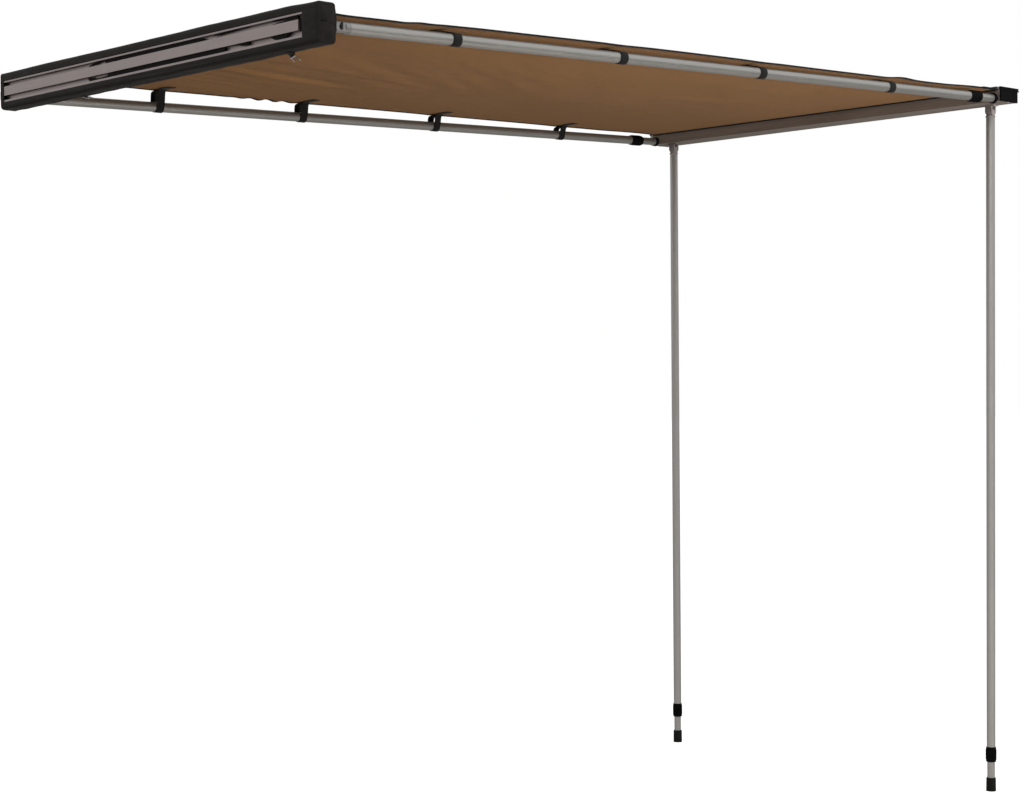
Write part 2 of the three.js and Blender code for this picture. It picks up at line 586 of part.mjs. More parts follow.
// Front rail: a hollow extrusion with a cord groove along its top rear edge, and a cap on each end
function buildRail() {
  const y0 = RAIL_Y;
  const y1 = RAIL_Y + RAIL_WIDTH;
  const x = RAIL_END;
  let rail = box([-x, y0, RAIL_BOTTOM], [x, y1, RAIL_TOP]);
  rail = rail.subtract(box([-x - 1, y0 + RAIL_WALL, RAIL_BOTTOM + RAIL_WALL],
    [x + 1, y1 - RAIL_WALL, RAIL_TOP - RAIL_WALL]));
  const grooveY = y0 + RAIL_GROOVE_Y;
  rail = rail.add(bar('x', [-x, grooveY, RAIL_GROOVE_Z], 2 * x, GROOVE_RADIUS + GROOVE_WALL));
  rail = rail.add(box([-x, y0 + RAIL_WALL / 2, RAIL_GROOVE_Z], [x, grooveY, RAIL_TOP - RAIL_WALL / 2]));
  rail = rail.subtract(bar('x', [-x - 1, grooveY, RAIL_GROOVE_Z], 2 * x + 2, GROOVE_RADIUS));
  rail = rail.subtract(box([-x - 1, y0 - 1, RAIL_GROOVE_Z - GROOVE_SLIT / 2],
    [x + 1, grooveY, RAIL_GROOVE_Z + GROOVE_SLIT / 2]));
  const lineZ = RAIL_GROOVE_Z - GROOVE_RADIUS - GROOVE_WALL - RAIL_LINE_HEIGHT;
  rail = rail.subtract(box([-x - 1, y0 - 1, lineZ], [x + 1, y0 + RAIL_LINE_DEPTH, lineZ + RAIL_LINE_HEIGHT]));
  const noseRoom = END_PLUG_NOSE_OD / 2 + GAP + END_PLUG_NOSE_LENGTH * Math.tan(ARM_TILT);
  for (const [, side] of ENDS) {
    rail = rail.subtract(bar('y', [side * ARM_X, y0 - 1, ARM_RAIL_Z], RAIL_WALL + 2, noseRoom));
  }
  add(awning, 'front_rail', rail, RAIL_GREY);

  for (const [end, side] of ENDS) {
    const inside = side * (RAIL_END + GAP);
    const outside = inside + side * CAP_THICKNESS;
    let cap = box([inside, y0 - CAP_LIP, RAIL_BOTTOM - CAP_LIP], [outside, y1 + CAP_LIP, RAIL_TOP]);
    cap = cap.add(box([inside, y0 - CAP_FLANGE_LIP, RAIL_TOP - CAP_FLANGE_HEIGHT],
      [outside + side, y1 + CAP_FLANGE_LIP, RAIL_TOP + CAP_LIP]));
    const clear = RAIL_WALL + GAP;
    const plugRear = grooveY + GROOVE_RADIUS + GROOVE_WALL + GAP;
    cap = cap.add(box([inside + side, plugRear, RAIL_BOTTOM + clear],
      [inside - side * CAP_PLUG_DEPTH, y1 - clear, RAIL_TOP - clear]));
    add(awning, `rail_end_cap_${end}`, cap, BLACK_PLASTIC);
  }
  const cord = CANOPY_HALF_WIDTH;
  const frontCord = bar('x', [-cord, grooveY, RAIL_GROOVE_Z], 2 * cord, CORD_RADIUS, 16);
  add(awning, 'front_edge_cord', frontCord, WEBBING);
}

// Legs: a bracket under the rail, a knuckle that folds on its pin, and a telescopic tube with a foot
function buildLeg(end, side) {
  const legY = RAIL_Y + LEG_MID_Y + (side * LEG_STAGGER) / 2;
  const leg = new THREE.Group();
  leg.position.set(side * LEG_X, legY, LEG_PIVOT_Z);
  awning.add(leg);

  const baseTop = LEG_PIVOT_DROP - GAP;
  const cheekIn = LEG_TONGUE / 2 + GAP;
  const cheekOut = cheekIn + LEG_CHEEK;
  const reach = LEG_BRACKET_LENGTH / 2;
  let bracket = box([-reach, -cheekOut, baseTop - LEG_BRACKET_BASE], [reach, cheekOut, baseTop]);
  const cheek = [
    [-LEG_CHEEK_RADIUS, baseTop - 1], ...arc([0, 0], LEG_CHEEK_RADIUS, 180, 360, 10),
    [LEG_CHEEK_RADIUS, baseTop - 1],
  ];
  for (const [from, to] of [[-cheekOut, -cheekIn], [cheekIn, cheekOut]]) {
    bracket = bracket.add(alongY(cheek, from, to));
  }
  bracket = bracket.subtract(bar('y', [0, -cheekOut - 1, 0], 2 * cheekOut + 2, PIN_HOLE_RADIUS));
  add(leg, `leg_bracket_${end}`, bracket, GREY_PLASTIC);

  const pinHalf = cheekOut + GAP;
  add(leg, `leg_pin_${end}`, turned([
    [0, -pinHalf - LEG_PIN_HEAD_HEIGHT], [PIN_HEAD_DIAMETER / 2, -pinHalf - LEG_PIN_HEAD_HEIGHT],
    [PIN_HEAD_DIAMETER / 2, -pinHalf], [PIN_DIAMETER / 2, -pinHalf], [PIN_DIAMETER / 2, pinHalf],
    [PIN_HEAD_DIAMETER / 2, pinHalf], [PIN_HEAD_DIAMETER / 2, pinHalf + LEG_PIN_HEAD_HEIGHT],
    [0, pinHalf + LEG_PIN_HEAD_HEIGHT],
  ], 20), STEEL);

  // Knuckle: the tongue, a round shoulder below the cheeks, and a plug inside the tube
  const shoulder = LEG_KNUCKLE_OD / 2;
  const bodyLow = LEG_KNUCKLE_TOP + LEG_KNUCKLE_BODY;
  const plug = LEG_TUBE_OD / 2 - TUBE_WALL - GAP;
  const round = turned([
    [0, LEG_KNUCKLE_TOP], [shoulder - 1.5, LEG_KNUCKLE_TOP], [shoulder, LEG_KNUCKLE_TOP + 1.5],
    [shoulder, bodyLow - 1.5], [shoulder - 1.5, bodyLow], [plug, bodyLow], [plug, bodyLow + PLUG_LENGTH],
    [0, bodyLow + PLUG_LENGTH],
  ]).rotate([-90, 0, 0]);
  const root = -bodyLow + 1;
  const tongue = [
    [-LEG_TONGUE_RADIUS, root], [LEG_TONGUE_RADIUS, root], ...arc([0, 0], LEG_TONGUE_RADIUS, 0, 180, 10),
  ];
  let knuckle = round.add(alongY(tongue, -LEG_TONGUE / 2, LEG_TONGUE / 2));
  knuckle = knuckle.subtract(bar('y', [0, -LEG_TONGUE, 0], 2 * LEG_TONGUE, PIN_HOLE_RADIUS));
  add(leg, `leg_knuckle_${end}`, knuckle, GREY_PLASTIC);

  // Tubes, measured down from the pivot along a group whose local Y points at the ground
  const down = new THREE.Group();
  down.rotation.x = -Math.PI / 2;
  leg.add(down);
  const ground = LEG_PIVOT_Z - GROUND_Z;
  const collarEnd = ground - FOOT_HEIGHT - LEG_INNER_SHOWN;
  const collarStart = collarEnd - LEG_COLLAR_LENGTH;
  const { collar, bush, tubeEnd } = twistLock(LEG_TUBE_OD, LEG_INNER_OD, LEG_COLLAR_LENGTH, LEG_COLLAR_OD);
  const outer = LEG_TUBE_OD / 2;
  const outerTube = ring(outer - TUBE_WALL, outer, bodyLow + GAP, collarStart + tubeEnd);
  add(down, `leg_tube_${end}`, outerTube, ALUMINIUM);
  add(down, `leg_twist_collar_${end}`, collar, BLACK_PLASTIC).position.y = collarStart;
  add(down, `leg_clamp_bush_${end}`, bush, GREY_PLASTIC).position.y = collarStart;

  const inner = LEG_INNER_OD / 2;
  const innerEnd = ground - FOOT_FLOOR - GAP;
  const innerTube = ring(inner - TUBE_WALL, inner, innerEnd - LEG_INNER_LENGTH, innerEnd);
  add(down, `leg_inner_tube_${end}`, innerTube, ALUMINIUM);
  const footTop = ground - FOOT_HEIGHT;
  const socket = inner + GAP;
  add(down, `leg_foot_${end}`, turned([
    [0, ground], [FOOT_OD / 2, ground], [FOOT_OD / 2, ground - 5], [FOOT_OD / 2 - 0.3, footTop + 3],
    [FOOT_OD / 2 - 1, footTop], [socket, footTop], [socket, ground - FOOT_FLOOR], [0, ground - FOOT_FLOOR],
  ]), BLACK_PLASTIC);
}

// Canopy: one cloth in three panels, so that its ends can follow the arms' hinge and the telescopes
function ease(t) {
  const u = Math.min(Math.max(t, 0), 1);
  return u * u * (3 - 2 * u);
}

const CANOPY_REAR_Y = REAR_GROOVE_Y + CORD_RADIUS + GAP;
const CANOPY_FRONT_Y = RAIL_Y + RAIL_GROOVE_Y - CORD_RADIUS - GAP;

function canopySides(y) {
  const free = ease((y - BAG_DEPTH - 2) / (CANOPY_LIFT_END - BAG_DEPTH));
  const farInBag = -BAG_ENDS.far - BAG_SKIN - 3;
  const far = farInBag + (CANOPY_HALF_WIDTH - farInBag) * free;
  return [-far, Math.min(CANOPY_HALF_WIDTH, BAG_ENDS.near - BAG_SKIN - GAP)];
}

function canopyTop(x, y) {
  const along = (y - CANOPY_REAR_Y) / (CANOPY_FRONT_Y - CANOPY_REAR_Y);
  const arm = PIVOT_Z + (y - PIVOT_Y) * Math.tan(ARM_TILT);
  const bow = Math.sin(Math.PI * along);
  const across = x / CANOPY_HALF_WIDTH;
  const rise = (CANOPY_FAR_RISE * (1 - along) * (1 - across)) / 2;
  const sag = CANOPY_SAG * bow * (1 - across * across);
  const free = arm + CANOPY_ABOVE_ARM + rise - sag + folds(x, y);
  const rear = REAR_GROOVE_Z + CANOPY_THICKNESS / 2;
  const front = RAIL_GROOVE_Z + CANOPY_THICKNESS / 2;
  const leaving = ease((y - CANOPY_REAR_Y - 2) / (CANOPY_LIFT_END - CANOPY_REAR_Y));
  const arriving = ease((CANOPY_FRONT_Y - CANOPY_FLAT_FRONT - y) / (CANOPY_FRONT_Y - CANOPY_FRONT_SEAM));
  return front + (rear + (free - rear) * leaving - front) * arriving;
}

// Slack folds that fan out from the case's corners and fade towards the middle
function folds(x, y) {
  let height = 0;
  for (const [, side] of ENDS) {
    const dx = CANOPY_HALF_WIDTH - side * x;
    const distance = Math.hypot(dx, y);
    const angle = Math.atan2(y, dx);
    height += FOLD_HEIGHT * Math.exp(-distance / FOLD_REACH) * Math.sin((angle * FOLD_REACH) / FOLD_SPACING);
  }
  return height;
}

function buildCanopy() {
  const panels = [
    ['canopy_rear_panel', CANOPY_REAR_Y, CANOPY_REAR_SEAM, 7, 22],
    ['canopy_main_panel', CANOPY_REAR_SEAM + GAP, CANOPY_FRONT_SEAM, 20, 22],
    ['canopy_front_panel', CANOPY_FRONT_SEAM + GAP, CANOPY_FRONT_Y, 6, 12],
  ];
  for (const [name, from, to, rows, columns] of panels) {
    const panel = sheet(canopySides, steps(from, to, rows), columns, canopyTop, CANOPY_THICKNESS);
    add(awning, name, panel, CANOPY_CLOTH);
  }
}

// Tie straps: a loop round the arm, a riser to the canopy, and a tail sewn under the canopy
function buildTie(end, side, number, y) {
  const inner = ARM_TUBE_OD / 2 + GAP;
  const outer = inner + WEB_THICKNESS;
  const y0 = y - TIE_WIDTH / 2;
  const y1 = y + TIE_WIDTH / 2;
  const tilt = new THREE.Matrix4().makeRotationX(ARM_TILT).setPosition(side * ARM_X, PIVOT_Y, PIVOT_Z);
  const station = (y - PIVOT_Y) / Math.cos(ARM_TILT);
  const level = ring(inner, outer, station - TIE_WIDTH / 2, station + TIE_WIDTH / 2, 20);
  const loop = level.transform(tilt.toArray());
  const under = (x, at) => canopyTop(x, at) - CANOPY_THICKNESS - 2 * GAP;
  const innerX = side * (ARM_X - TIE_TAIL);
  const outerX = side * (ARM_X + WEB_THICKNESS);
  const tailSides = () => [Math.min(innerX, outerX), Math.max(innerX, outerX)];
  const tail = sheet(tailSides, [y0, y, y1], 6, under, WEB_THICKNESS);
  const armZ = PIVOT_Z + (y - PIVOT_Y) * Math.tan(ARM_TILT);
  const half = WEB_THICKNESS / 2;
  const top = Math.min(under(side * ARM_X, y0), under(side * ARM_X, y1)) - half;
  const riser = box([side * ARM_X - half, y0 + GAP, armZ + (inner + outer) / 2],
    [side * ARM_X + half, y1 - GAP, top]);
  add(awning, `tie_strap_${end}_${number}`, loop.add(riser).add(tail), WEBBING);
}

buildCase();
for (const [end, side] of ENDS) {
  buildStowStrap(end, STOW_STRAP_AT[end]);
  buildArmBracket(end, side);
  buildArm(end, side);
  buildLeg(end, side);
  TIE_AT[end].forEach((share, i) => buildTie(end, side, i + 1, share * RAIL_Y));
}
buildRail();
buildCanopy();

export default awning;
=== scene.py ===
import json
import math

import bpy
import numpy as np
from mathutils import Matrix, Vector, noise


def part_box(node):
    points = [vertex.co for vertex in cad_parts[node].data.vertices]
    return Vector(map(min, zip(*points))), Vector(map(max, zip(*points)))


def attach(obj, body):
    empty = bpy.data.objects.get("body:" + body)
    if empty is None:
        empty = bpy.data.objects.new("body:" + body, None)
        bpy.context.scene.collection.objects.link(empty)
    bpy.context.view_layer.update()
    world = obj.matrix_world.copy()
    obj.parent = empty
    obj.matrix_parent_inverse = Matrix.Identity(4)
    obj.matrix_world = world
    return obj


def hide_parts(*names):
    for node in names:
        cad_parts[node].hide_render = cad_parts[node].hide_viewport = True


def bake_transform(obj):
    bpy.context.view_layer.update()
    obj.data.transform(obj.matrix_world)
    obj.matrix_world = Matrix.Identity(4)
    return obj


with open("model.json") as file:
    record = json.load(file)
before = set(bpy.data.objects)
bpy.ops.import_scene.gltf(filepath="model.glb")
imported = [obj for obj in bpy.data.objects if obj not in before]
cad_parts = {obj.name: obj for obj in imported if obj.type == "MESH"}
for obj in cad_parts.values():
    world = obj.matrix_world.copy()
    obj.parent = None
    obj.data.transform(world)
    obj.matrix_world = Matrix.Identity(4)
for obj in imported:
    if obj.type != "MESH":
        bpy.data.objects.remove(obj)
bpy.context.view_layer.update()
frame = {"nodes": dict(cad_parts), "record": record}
nodes = frame["nodes"]

MM = 0.001
ENDS = (("near", 1), ("far", -1))
UP = Vector((0, 0, 1))

# Sizes that the fixed frame has, in metres
PLATE_END = 0.561
PLATE_EDGE = 0.0238
PIVOT_Y, PIVOT_Z = 0.056, -0.004
ARM_X = 0.598
RAIL_Y, ARM_RAIL_Z = 2.205, 0.052
TILT = math.atan2(ARM_RAIL_Z - PIVOT_Z, RAIL_Y - PIVOT_Y)
BAG_NEAR, BAG_FAR = 0.610, -0.575
BAG_TOP, BAG_LOW, BAG_FRONT = 0.037, -0.038, 0.042
MOUTH_TOP, MOUTH_LOW = 0.029, -0.022
CLOTH_HALF = 0.606
CLOTH_REAR, CLOTH_SEAM, CLOTH_FRONT = 0.020, 2.0, 2.2075
REAR_GROOVE = (0.016, 0.019)
RAIL_GROOVE = (2.2115, 0.074)
GROUND = -1.770

# The drawn cloth: its thickness, and how far out its far edge lies inside the bag
CLOTH_THICK, CLOTH_TUCKED = 0.0008, 0.5704


# Camera at the photograph's place
def aim(azimuth, pitch, roll):
    level = Vector((-math.sin(azimuth), math.cos(azimuth), 0))
    side = Vector((math.cos(azimuth), math.sin(azimuth), 0))
    ahead = math.cos(pitch) * level + math.sin(pitch) * UP
    high = -math.sin(pitch) * level + math.cos(pitch) * UP
    right = math.cos(roll) * side + math.sin(roll) * high
    high = -math.sin(roll) * side + math.cos(roll) * high
    return Matrix((right, high, -ahead)).transposed()


WIDTH, HEIGHT = 1020, 793
FOCAL, HORIZON = 2033.4, 460.5  # in pixels
view = bpy.data.cameras.new("camera")
view.sensor_width = 36
view.lens = view.sensor_width * FOCAL / WIDTH
view.shift_y = (HORIZON - HEIGHT / 2) / WIDTH
view.clip_start, view.clip_end = 0.05, 60
camera = bpy.data.objects.new("camera", view)
turn = aim(math.radians(47.24), math.radians(-2.14), math.radians(-0.56))
camera.matrix_world = Matrix.Translation((3.63329, -2.32167, -0.67699)) @ turn.to_4x4()
bpy.context.scene.collection.objects.link(camera)
bpy.context.scene.camera = camera


# Materials
class Nodes:
    """A node tree that is built up step by step."""

    def __init__(self, tree):
        self.tree = tree

    def feed(self, socket, value):
        if isinstance(value, bpy.types.NodeSocket):
            self.tree.links.new(value, socket)
        else:
            socket.default_value = value

    def node(self, kind, inputs, **settings):
        made = self.tree.nodes.new("ShaderNode" + kind)
        for key, value in settings.items():
            setattr(made, key, value)
        for key, value in inputs.items():
            self.feed(made.inputs[key], value)
        return made

    def place(self, source, scale=(1, 1, 1), turn=(0, 0, 0)):
        where = self.node("TexCoord", {}).outputs[source]
        return self.node("Mapping", {0: where, "Scale": scale, "Rotation": turn}).outputs[0]

    def noise(self, scale, detail=2.0, rough=0.5, source="Object", turn=(0, 0, 0)):
        where = self.place(source, scale, turn)
        inputs = {"Vector": where, "Scale": 1.0, "Detail": detail, "Roughness": rough}
        return self.node("TexNoise", inputs).outputs[0]

    def wave(self, where, pitch, direction, bend):
        unit_pitch = math.pi / 10  # the distance of the bands at scale 1
        inputs = {"Vector": where, "Scale": unit_pitch / pitch, "Distortion": bend, "Detail": 1.0}
        return self.node("TexWave", inputs, bands_direction=direction).outputs[1]

    def math(self, operation, a, b=0.0):
        return self.node("Math", {0: a, 1: b}, operation=operation).outputs[0]

    def weighed(self, *pairs):
        """The sum of values times their weights."""
        total, *rest = [self.math("MULTIPLY", value, weight) for value, weight in pairs]
        for part in rest:
            total = self.math("ADD", total, part)
        return total

    def spread(self, value, low, high, to_low=0.0, to_high=1.0):
        inputs = {"Value": value, "From Min": low, "From Max": high, "To Min": to_low, "To Max": to_high}
        return self.node("MapRange", inputs).outputs[0]

    def mix(self, factor, a, b):
        """A mix of two colours, which go to the node's inputs 6 and 7."""
        made = self.node("Mix", {}, data_type="RGBA")
        self.feed(made.inputs[0], factor)
        for socket, value in ((made.inputs[6], a), (made.inputs[7], b)):
            self.feed(socket, value if isinstance(value, bpy.types.NodeSocket) else (*value, 1))
        return made.outputs[2]

    def tone(self, value, low, high, dark, light):
        """A colour between dark and light, by where the value lies between low and high."""
        return self.mix(self.spread(value, low, high), dark, light)


class Look(Nodes):
    """A node material."""

    def __init__(self, name, colour, roughness, metallic=0.0, **sockets):
        self.material = bpy.data.materials.new(name)
        self.material.use_nodes = True
        super().__init__(self.material.node_tree)
        self.shader = self.tree.nodes["Principled BSDF"]
        self.set("Base Color", (*colour, 1))
        self.set("Roughness", roughness)
        self.set("Metallic", metallic)
        for key, value in sockets.items():
            self.set(key.replace("_", " "), value)
        self.normal = None

    def set(self, socket, value):
        self.feed(self.shader.inputs[socket], value)

    def bump(self, height, distance, strength=1.0):
        inputs = {"Height": height, "Distance": distance, "Strength": strength}
        if self.normal is not None:
            inputs["Normal"] = self.normal
        self.normal = self.node("Bump", inputs).outputs[0]
        self.set("Normal", self.normal)

    def dull(self, cloud, low, high):
        """Roughness from low to high, as the clouds go."""
        self.set("Roughness", self.spread(cloud, 0.3, 0.7, low, high))


def shade(colour, factor):
    return tuple(min(1.0, channel * factor) for channel in colour)


def metal(name, colour, roughness, axis, line=0.00012, wear=0.12):
    """Drawn or extruded metal: fine lines along one axis, cloudy gloss and small spots."""
    look = Look(name, colour, roughness, 0.9)
    stretch = [900.0, 900.0, 900.0]
    stretch["XYZ".index(axis)] = 6.0
    lines = look.noise(stretch, 3.0, 0.6)
    cloud = look.noise((9, 9, 9), 3.0, 0.6)
    spots = look.noise((260, 260, 260))
    mixed = look.weighed((lines, 0.4), (cloud, 0.6))
    look.set("Base Color", look.tone(mixed, 0.35, 0.68, shade(colour, 1 - wear), shade(colour, 1 + wear)))
    gloss = look.weighed((cloud, 0.22), (spots, 0.12))
    mean_gloss = (0.22 + 0.12) / 2
    look.set("Roughness", look.math("ADD", gloss, roughness - mean_gloss))
    look.bump(lines, line)
    look.bump(spots, line * 0.3)
    return look


def plastic(name, colour, roughness, grain=0.00008, wear=0.25, gloss=0.3):
    """Moulded plastic: a fine grain, and clouds of dust and rubbed patches."""
    look = Look(name, colour, roughness, Specular_IOR_Level=gloss)
    cloud = look.noise((35, 35, 35), 3.0, 0.55)
    look.set("Base Color", look.tone(cloud, 0.35, 0.7, shade(colour, 1 - wear), shade(colour, 1 + 2 * wear)))
    look.dull(cloud, roughness - 0.08, roughness + 0.1)
    look.bump(look.noise((1400, 1400, 1400)), grain)
    return look


def woven(look, pitch, bend, depth, strength=1.0):
    """Plain weave: two crossed sets of threads. Gives the height of the cloth's surface."""
    flat = look.place("UV")
    height = look.math("MAXIMUM", look.wave(flat, pitch, "X", bend), look.wave(flat, pitch, "Y", bend))
    look.bump(height, depth, strength)
    return height


def canopy_look():
    look = Look("canopy_cloth", (0.240, 0.117, 0.040), 0.9, Sheen_Weight=0.02, Sheen_Roughness=0.5,
                Specular_IOR_Level=0.06)
    height = woven(look, 0.0011, 0.5, 0.00016, 0.8)
    slub = look.noise((900, 25, 1), 2.0, 0.6, "UV")
    slub_across = look.noise((25, 900, 1), 2.0, 0.6, "UV")
    cloud = look.noise((5, 3.2, 1), 4.0, 0.62, "UV")
    mixed = look.weighed((slub, 0.22), (slub_across, 0.18), (cloud, 0.6))
    cloth = look.tone(mixed, 0.3, 0.72, (0.205, 0.099, 0.0330), (0.272, 0.136, 0.0475))
    # The weave's low parts are darker: painted shade between the threads
    look.set("Base Color", look.tone(height, 0.35, 0.9, (0.162, 0.077, 0.025), cloth))
    look.dull(cloud, 0.78, 0.93)
    creases = look.noise((24, 9, 1), 3.0, 0.55, "UV", (0, 0, 0.5))
    look.bump(creases, 0.0030, 0.9)
    return look


THREAD, STITCH = 0.0008, 0.0035  # thickness of the sewing thread and length of its stitches


def tape_look(name, colour, pitch, seams):
    """Woven tape: ribs across it, and a row of stitches along each edge. UV is in metres."""
    look = Look(name, colour, 0.82, Sheen_Weight=0.03, Sheen_Roughness=0.4, Specular_IOR_Level=0.2)
    flat = look.place("UV")
    ribs = look.wave(flat, pitch, "Y", 0.4)
    threads = look.wave(flat, pitch * 0.6, "X", 0.4)
    height = look.math("MULTIPLY", look.math("ADD", ribs, threads), 0.5)
    cloud = look.noise((60, 18, 1), 3.0, 0.6, "UV")
    base = look.tone(cloud, 0.35, 0.7, shade(colour, 0.7), shade(colour, 1.7))
    # Darker in the weave's low parts: painted shade between the ribs and threads
    look.set("Base Color", look.mix(height, shade(colour, 0.45), base))
    look.dull(cloud, 0.74, 0.92)
    look.bump(height, 0.00018)
    apart = look.node("SeparateXYZ", {0: flat})
    row = 0.0
    for u in seams:
        off = look.math("ABSOLUTE", look.math("SUBTRACT", apart.outputs[0], u))
        row = look.math("ADD", look.math("LESS_THAN", off, THREAD / 2), row)
    dash = look.math("FRACT", look.math("DIVIDE", apart.outputs[1], STITCH))
    look.bump(look.math("MULTIPLY", row, look.math("LESS_THAN", dash, 0.72)), THREAD / 2)
    return look


def bag_look():
    colour = (0.0100, 0.0088, 0.0078)
    look = Look("bag_cloth", colour, 0.66, Specular_IOR_Level=0.10)
    height = woven(look, 0.0012, 0.6, 0.00011)
    cloud = look.noise((7, 30, 30), 4.0, 0.6)
    dust = look.noise((120, 120, 120), 3.0, 0.6)
    mixed = look.weighed((cloud, 0.7), (dust, 0.3))
    base = look.tone(mixed, 0.38, 0.68, shade(colour, 0.75), shade(colour, 1.6))
    # The weave's low parts are darker: painted shade between the threads
    look.set("Base Color", look.tone(height, 0.3, 0.9, shade(colour, 0.6), base))
    look.dull(cloud, 0.5, 0.72)
    look.bump(look.noise((16, 55, 55), 3.0), 0.0012, 0.6)
    return look


def rail_look():
    # The coating's dark brownish colour is partly its own and partly painted: the shade under the canopy and
    # a painted reflection of the canopy's brown are in it
    colour = (0.178, 0.143, 0.119)
    look = Look("rail_coating", colour, 0.5, 0.2, Specular_IOR_Level=0.25)
    lines = look.noise((5, 700, 700), 3.0, 0.6)
    cloud = look.noise((4, 40, 40), 3.0, 0.6)
    mixed = look.weighed((lines, 0.4), (cloud, 0.6))
    look.set("Base Color", look.tone(mixed, 0.36, 0.68, shade(colour, 0.85), shade(colour, 1.2)))
    look.dull(cloud, 0.44, 0.6)
    look.bump(look.noise((500, 500, 500)), 0.00005)
    look.bump(lines, 0.00008)
    return look


PLATE = metal("extruded_plate", (0.265, 0.228, 0.218), 0.42, "X")
BRACKET = metal("bracket_aluminium", (0.44, 0.44, 0.45), 0.4, "X")
ARM_TUBE = metal("arm_tube_drawn", (0.34, 0.332, 0.314), 0.42, "Y", 0.00002, 0.05)
ARM_END = metal("arm_knuckle_cast", (0.27, 0.265, 0.255), 0.5, "Y", 0.00003, 0.08)
LEG_TUBE = metal("leg_tube_drawn", (0.375, 0.364, 0.352), 0.52, "Z", 0.00002, 0.05)
BARE_END = metal("bare_rail_end", (0.34, 0.335, 0.32), 0.4, "Y")
STEEL = metal("zinc_steel", (0.62, 0.62, 0.64), 0.3, "X", 0.00006)
# Near-black steel for the arm pins, whose outer bar is painted shade at the knuckle
DARK_STEEL = metal("pin_steel_painted_dark", (0.035, 0.033, 0.031), 0.45, "X", 0.00005)
BLACK = plastic("black_moulding", (0.0020, 0.0020, 0.0022), 0.6, gloss=0.03)
KNUCKLE = plastic("grey_moulding", (0.140, 0.121, 0.115), 0.5)
RUBBER = plastic("foot_rubber", (0.0046, 0.0045, 0.0043), 0.75, 0.00018, gloss=0.12)
# Near-black colour of the sheets in the plate's slots: painted shade
PAINTED_SLOT_SHADE = plastic("painted_slot_shade", (0.0042, 0.0036, 0.0032), 0.8, 0.00012, 0.4, gloss=0.08)
CANOPY = canopy_look()
BAG = bag_look()
RAIL = rail_look()
WEBBING = tape_look("black_webbing", (0.0085, 0.0082, 0.008), 0.0014, (0.0025, 0.0195))
BINDING = tape_look("black_binding", (0.0045, 0.0042, 0.0040), 0.0009, (0.0035, 0.0115))


# Mesh helpers
def piece(name, points, faces, look, uv=None):
    mesh = bpy.data.meshes.new(name)
    mesh.from_pydata([tuple(p) for p in points], [], faces)
    if uv is not None:
        layer = mesh.uv_layers.new(name="UVMap")
        layer.data.foreach_set("uv", np.array(uv, np.float32).ravel())
    mesh.polygons.foreach_set("use_smooth", [True] * len(mesh.polygons))
    mesh.set_sharp_from_angle(angle=math.radians(48))
    mesh.materials.append(look.material)
    obj = bpy.data.objects.new(name, mesh)
    bpy.context.scene.collection.objects.link(obj)
    return obj


def merged(name, parts, look):
    """One mesh from several (points, faces, uv) parts."""
    points, faces, uv = [], [], []
    for part_points, part_faces, part_uv in parts:
        base = len(points)
        points += [tuple(p) for p in part_points]
        faces += [tuple(base + i for i in face) for face in part_faces]
        uv += list(part_uv)
    return piece(name, points, faces, look, uv)


def swept(path, across, outline):
    """A closed outline of (a, b) swept along a path. a runs along across, b along tangent x across."""
    path = [Vector(p) for p in path]
    points, faces, uv = [], [], []
    count = len(outline)
    run = np.cumsum([0.0] + [(q - p).length for p, q in zip(path, path[1:])])
    sides = [math.dist(outline[j], outline[(j + 1) % count]) for j in range(count)]
    girth = np.cumsum([0.0] + sides)
    for i, point in enumerate(path):
        tangent = (path[min(i + 1, len(path) - 1)] - path[max(i - 1, 0)]).normalized()
        a = Vector(across)
        a = (a - tangent * a.dot(tangent)).normalized()
        b = tangent.cross(a)
        points += [point + a * u + b * v for u, v in outline]
    for i in range(len(path) - 1):
        for j in range(count):
            k = (j + 1) % count
            faces.append((i * count + j, i * count + k, (i + 1) * count + k, (i + 1) * count + j))
            u0, u1 = girth[j], girth[j + 1]
            uv += [(u0, run[i]), (u1, run[i]), (u1, run[i + 1]), (u0, run[i + 1])]
    last = (len(path) - 1) * count
    faces.append(tuple(range(count - 1, -1, -1)))
    faces.append(tuple(last + j for j in range(count)))
    uv += [(0.001 * j, 0) for j in range(count)] * 2
    return points, faces, uv


def strip(width, thickness):
    """The outline of a flat strap with rounded edges, its u coordinate from one edge to the other."""
    w, t = width / 2, thickness / 2
    edge = t * 0.8
    right = [(w - edge, t), (w - edge * 0.3, t * 0.7), (w, 0), (w - edge * 0.3, -t * 0.7), (w - edge, -t)]
    return [(-w + edge, t), *right, (-w + edge, -t), (-w + edge * 0.3, -t * 0.7), (-w, 0),
            (-w + edge * 0.3, t * 0.7)]


def circle(radius, sides):
    turn = [2 * math.pi * i / sides for i in range(sides)]
    return [(radius * math.cos(a), radius * math.sin(a)) for a in turn]


def smooth_path(corners, steps):
    """A Catmull-Rom curve through the corners."""
    corners = [Vector(c) for c in corners]
    padded = [2 * corners[0] - corners[1], *corners, 2 * corners[-1] - corners[-2]]
    path = []
    for a, b, c, d in zip(padded, padded[1:], padded[2:], padded[3:]):
        for i in range(steps):
            t = i / steps
            path.append(0.5 * (2 * b + (c - a) * t + (2 * a - 5 * b + 4 * c - d) * t**2
                               + (3 * b - a - 3 * c + d) * t**3))
    return path + [corners[-1]]


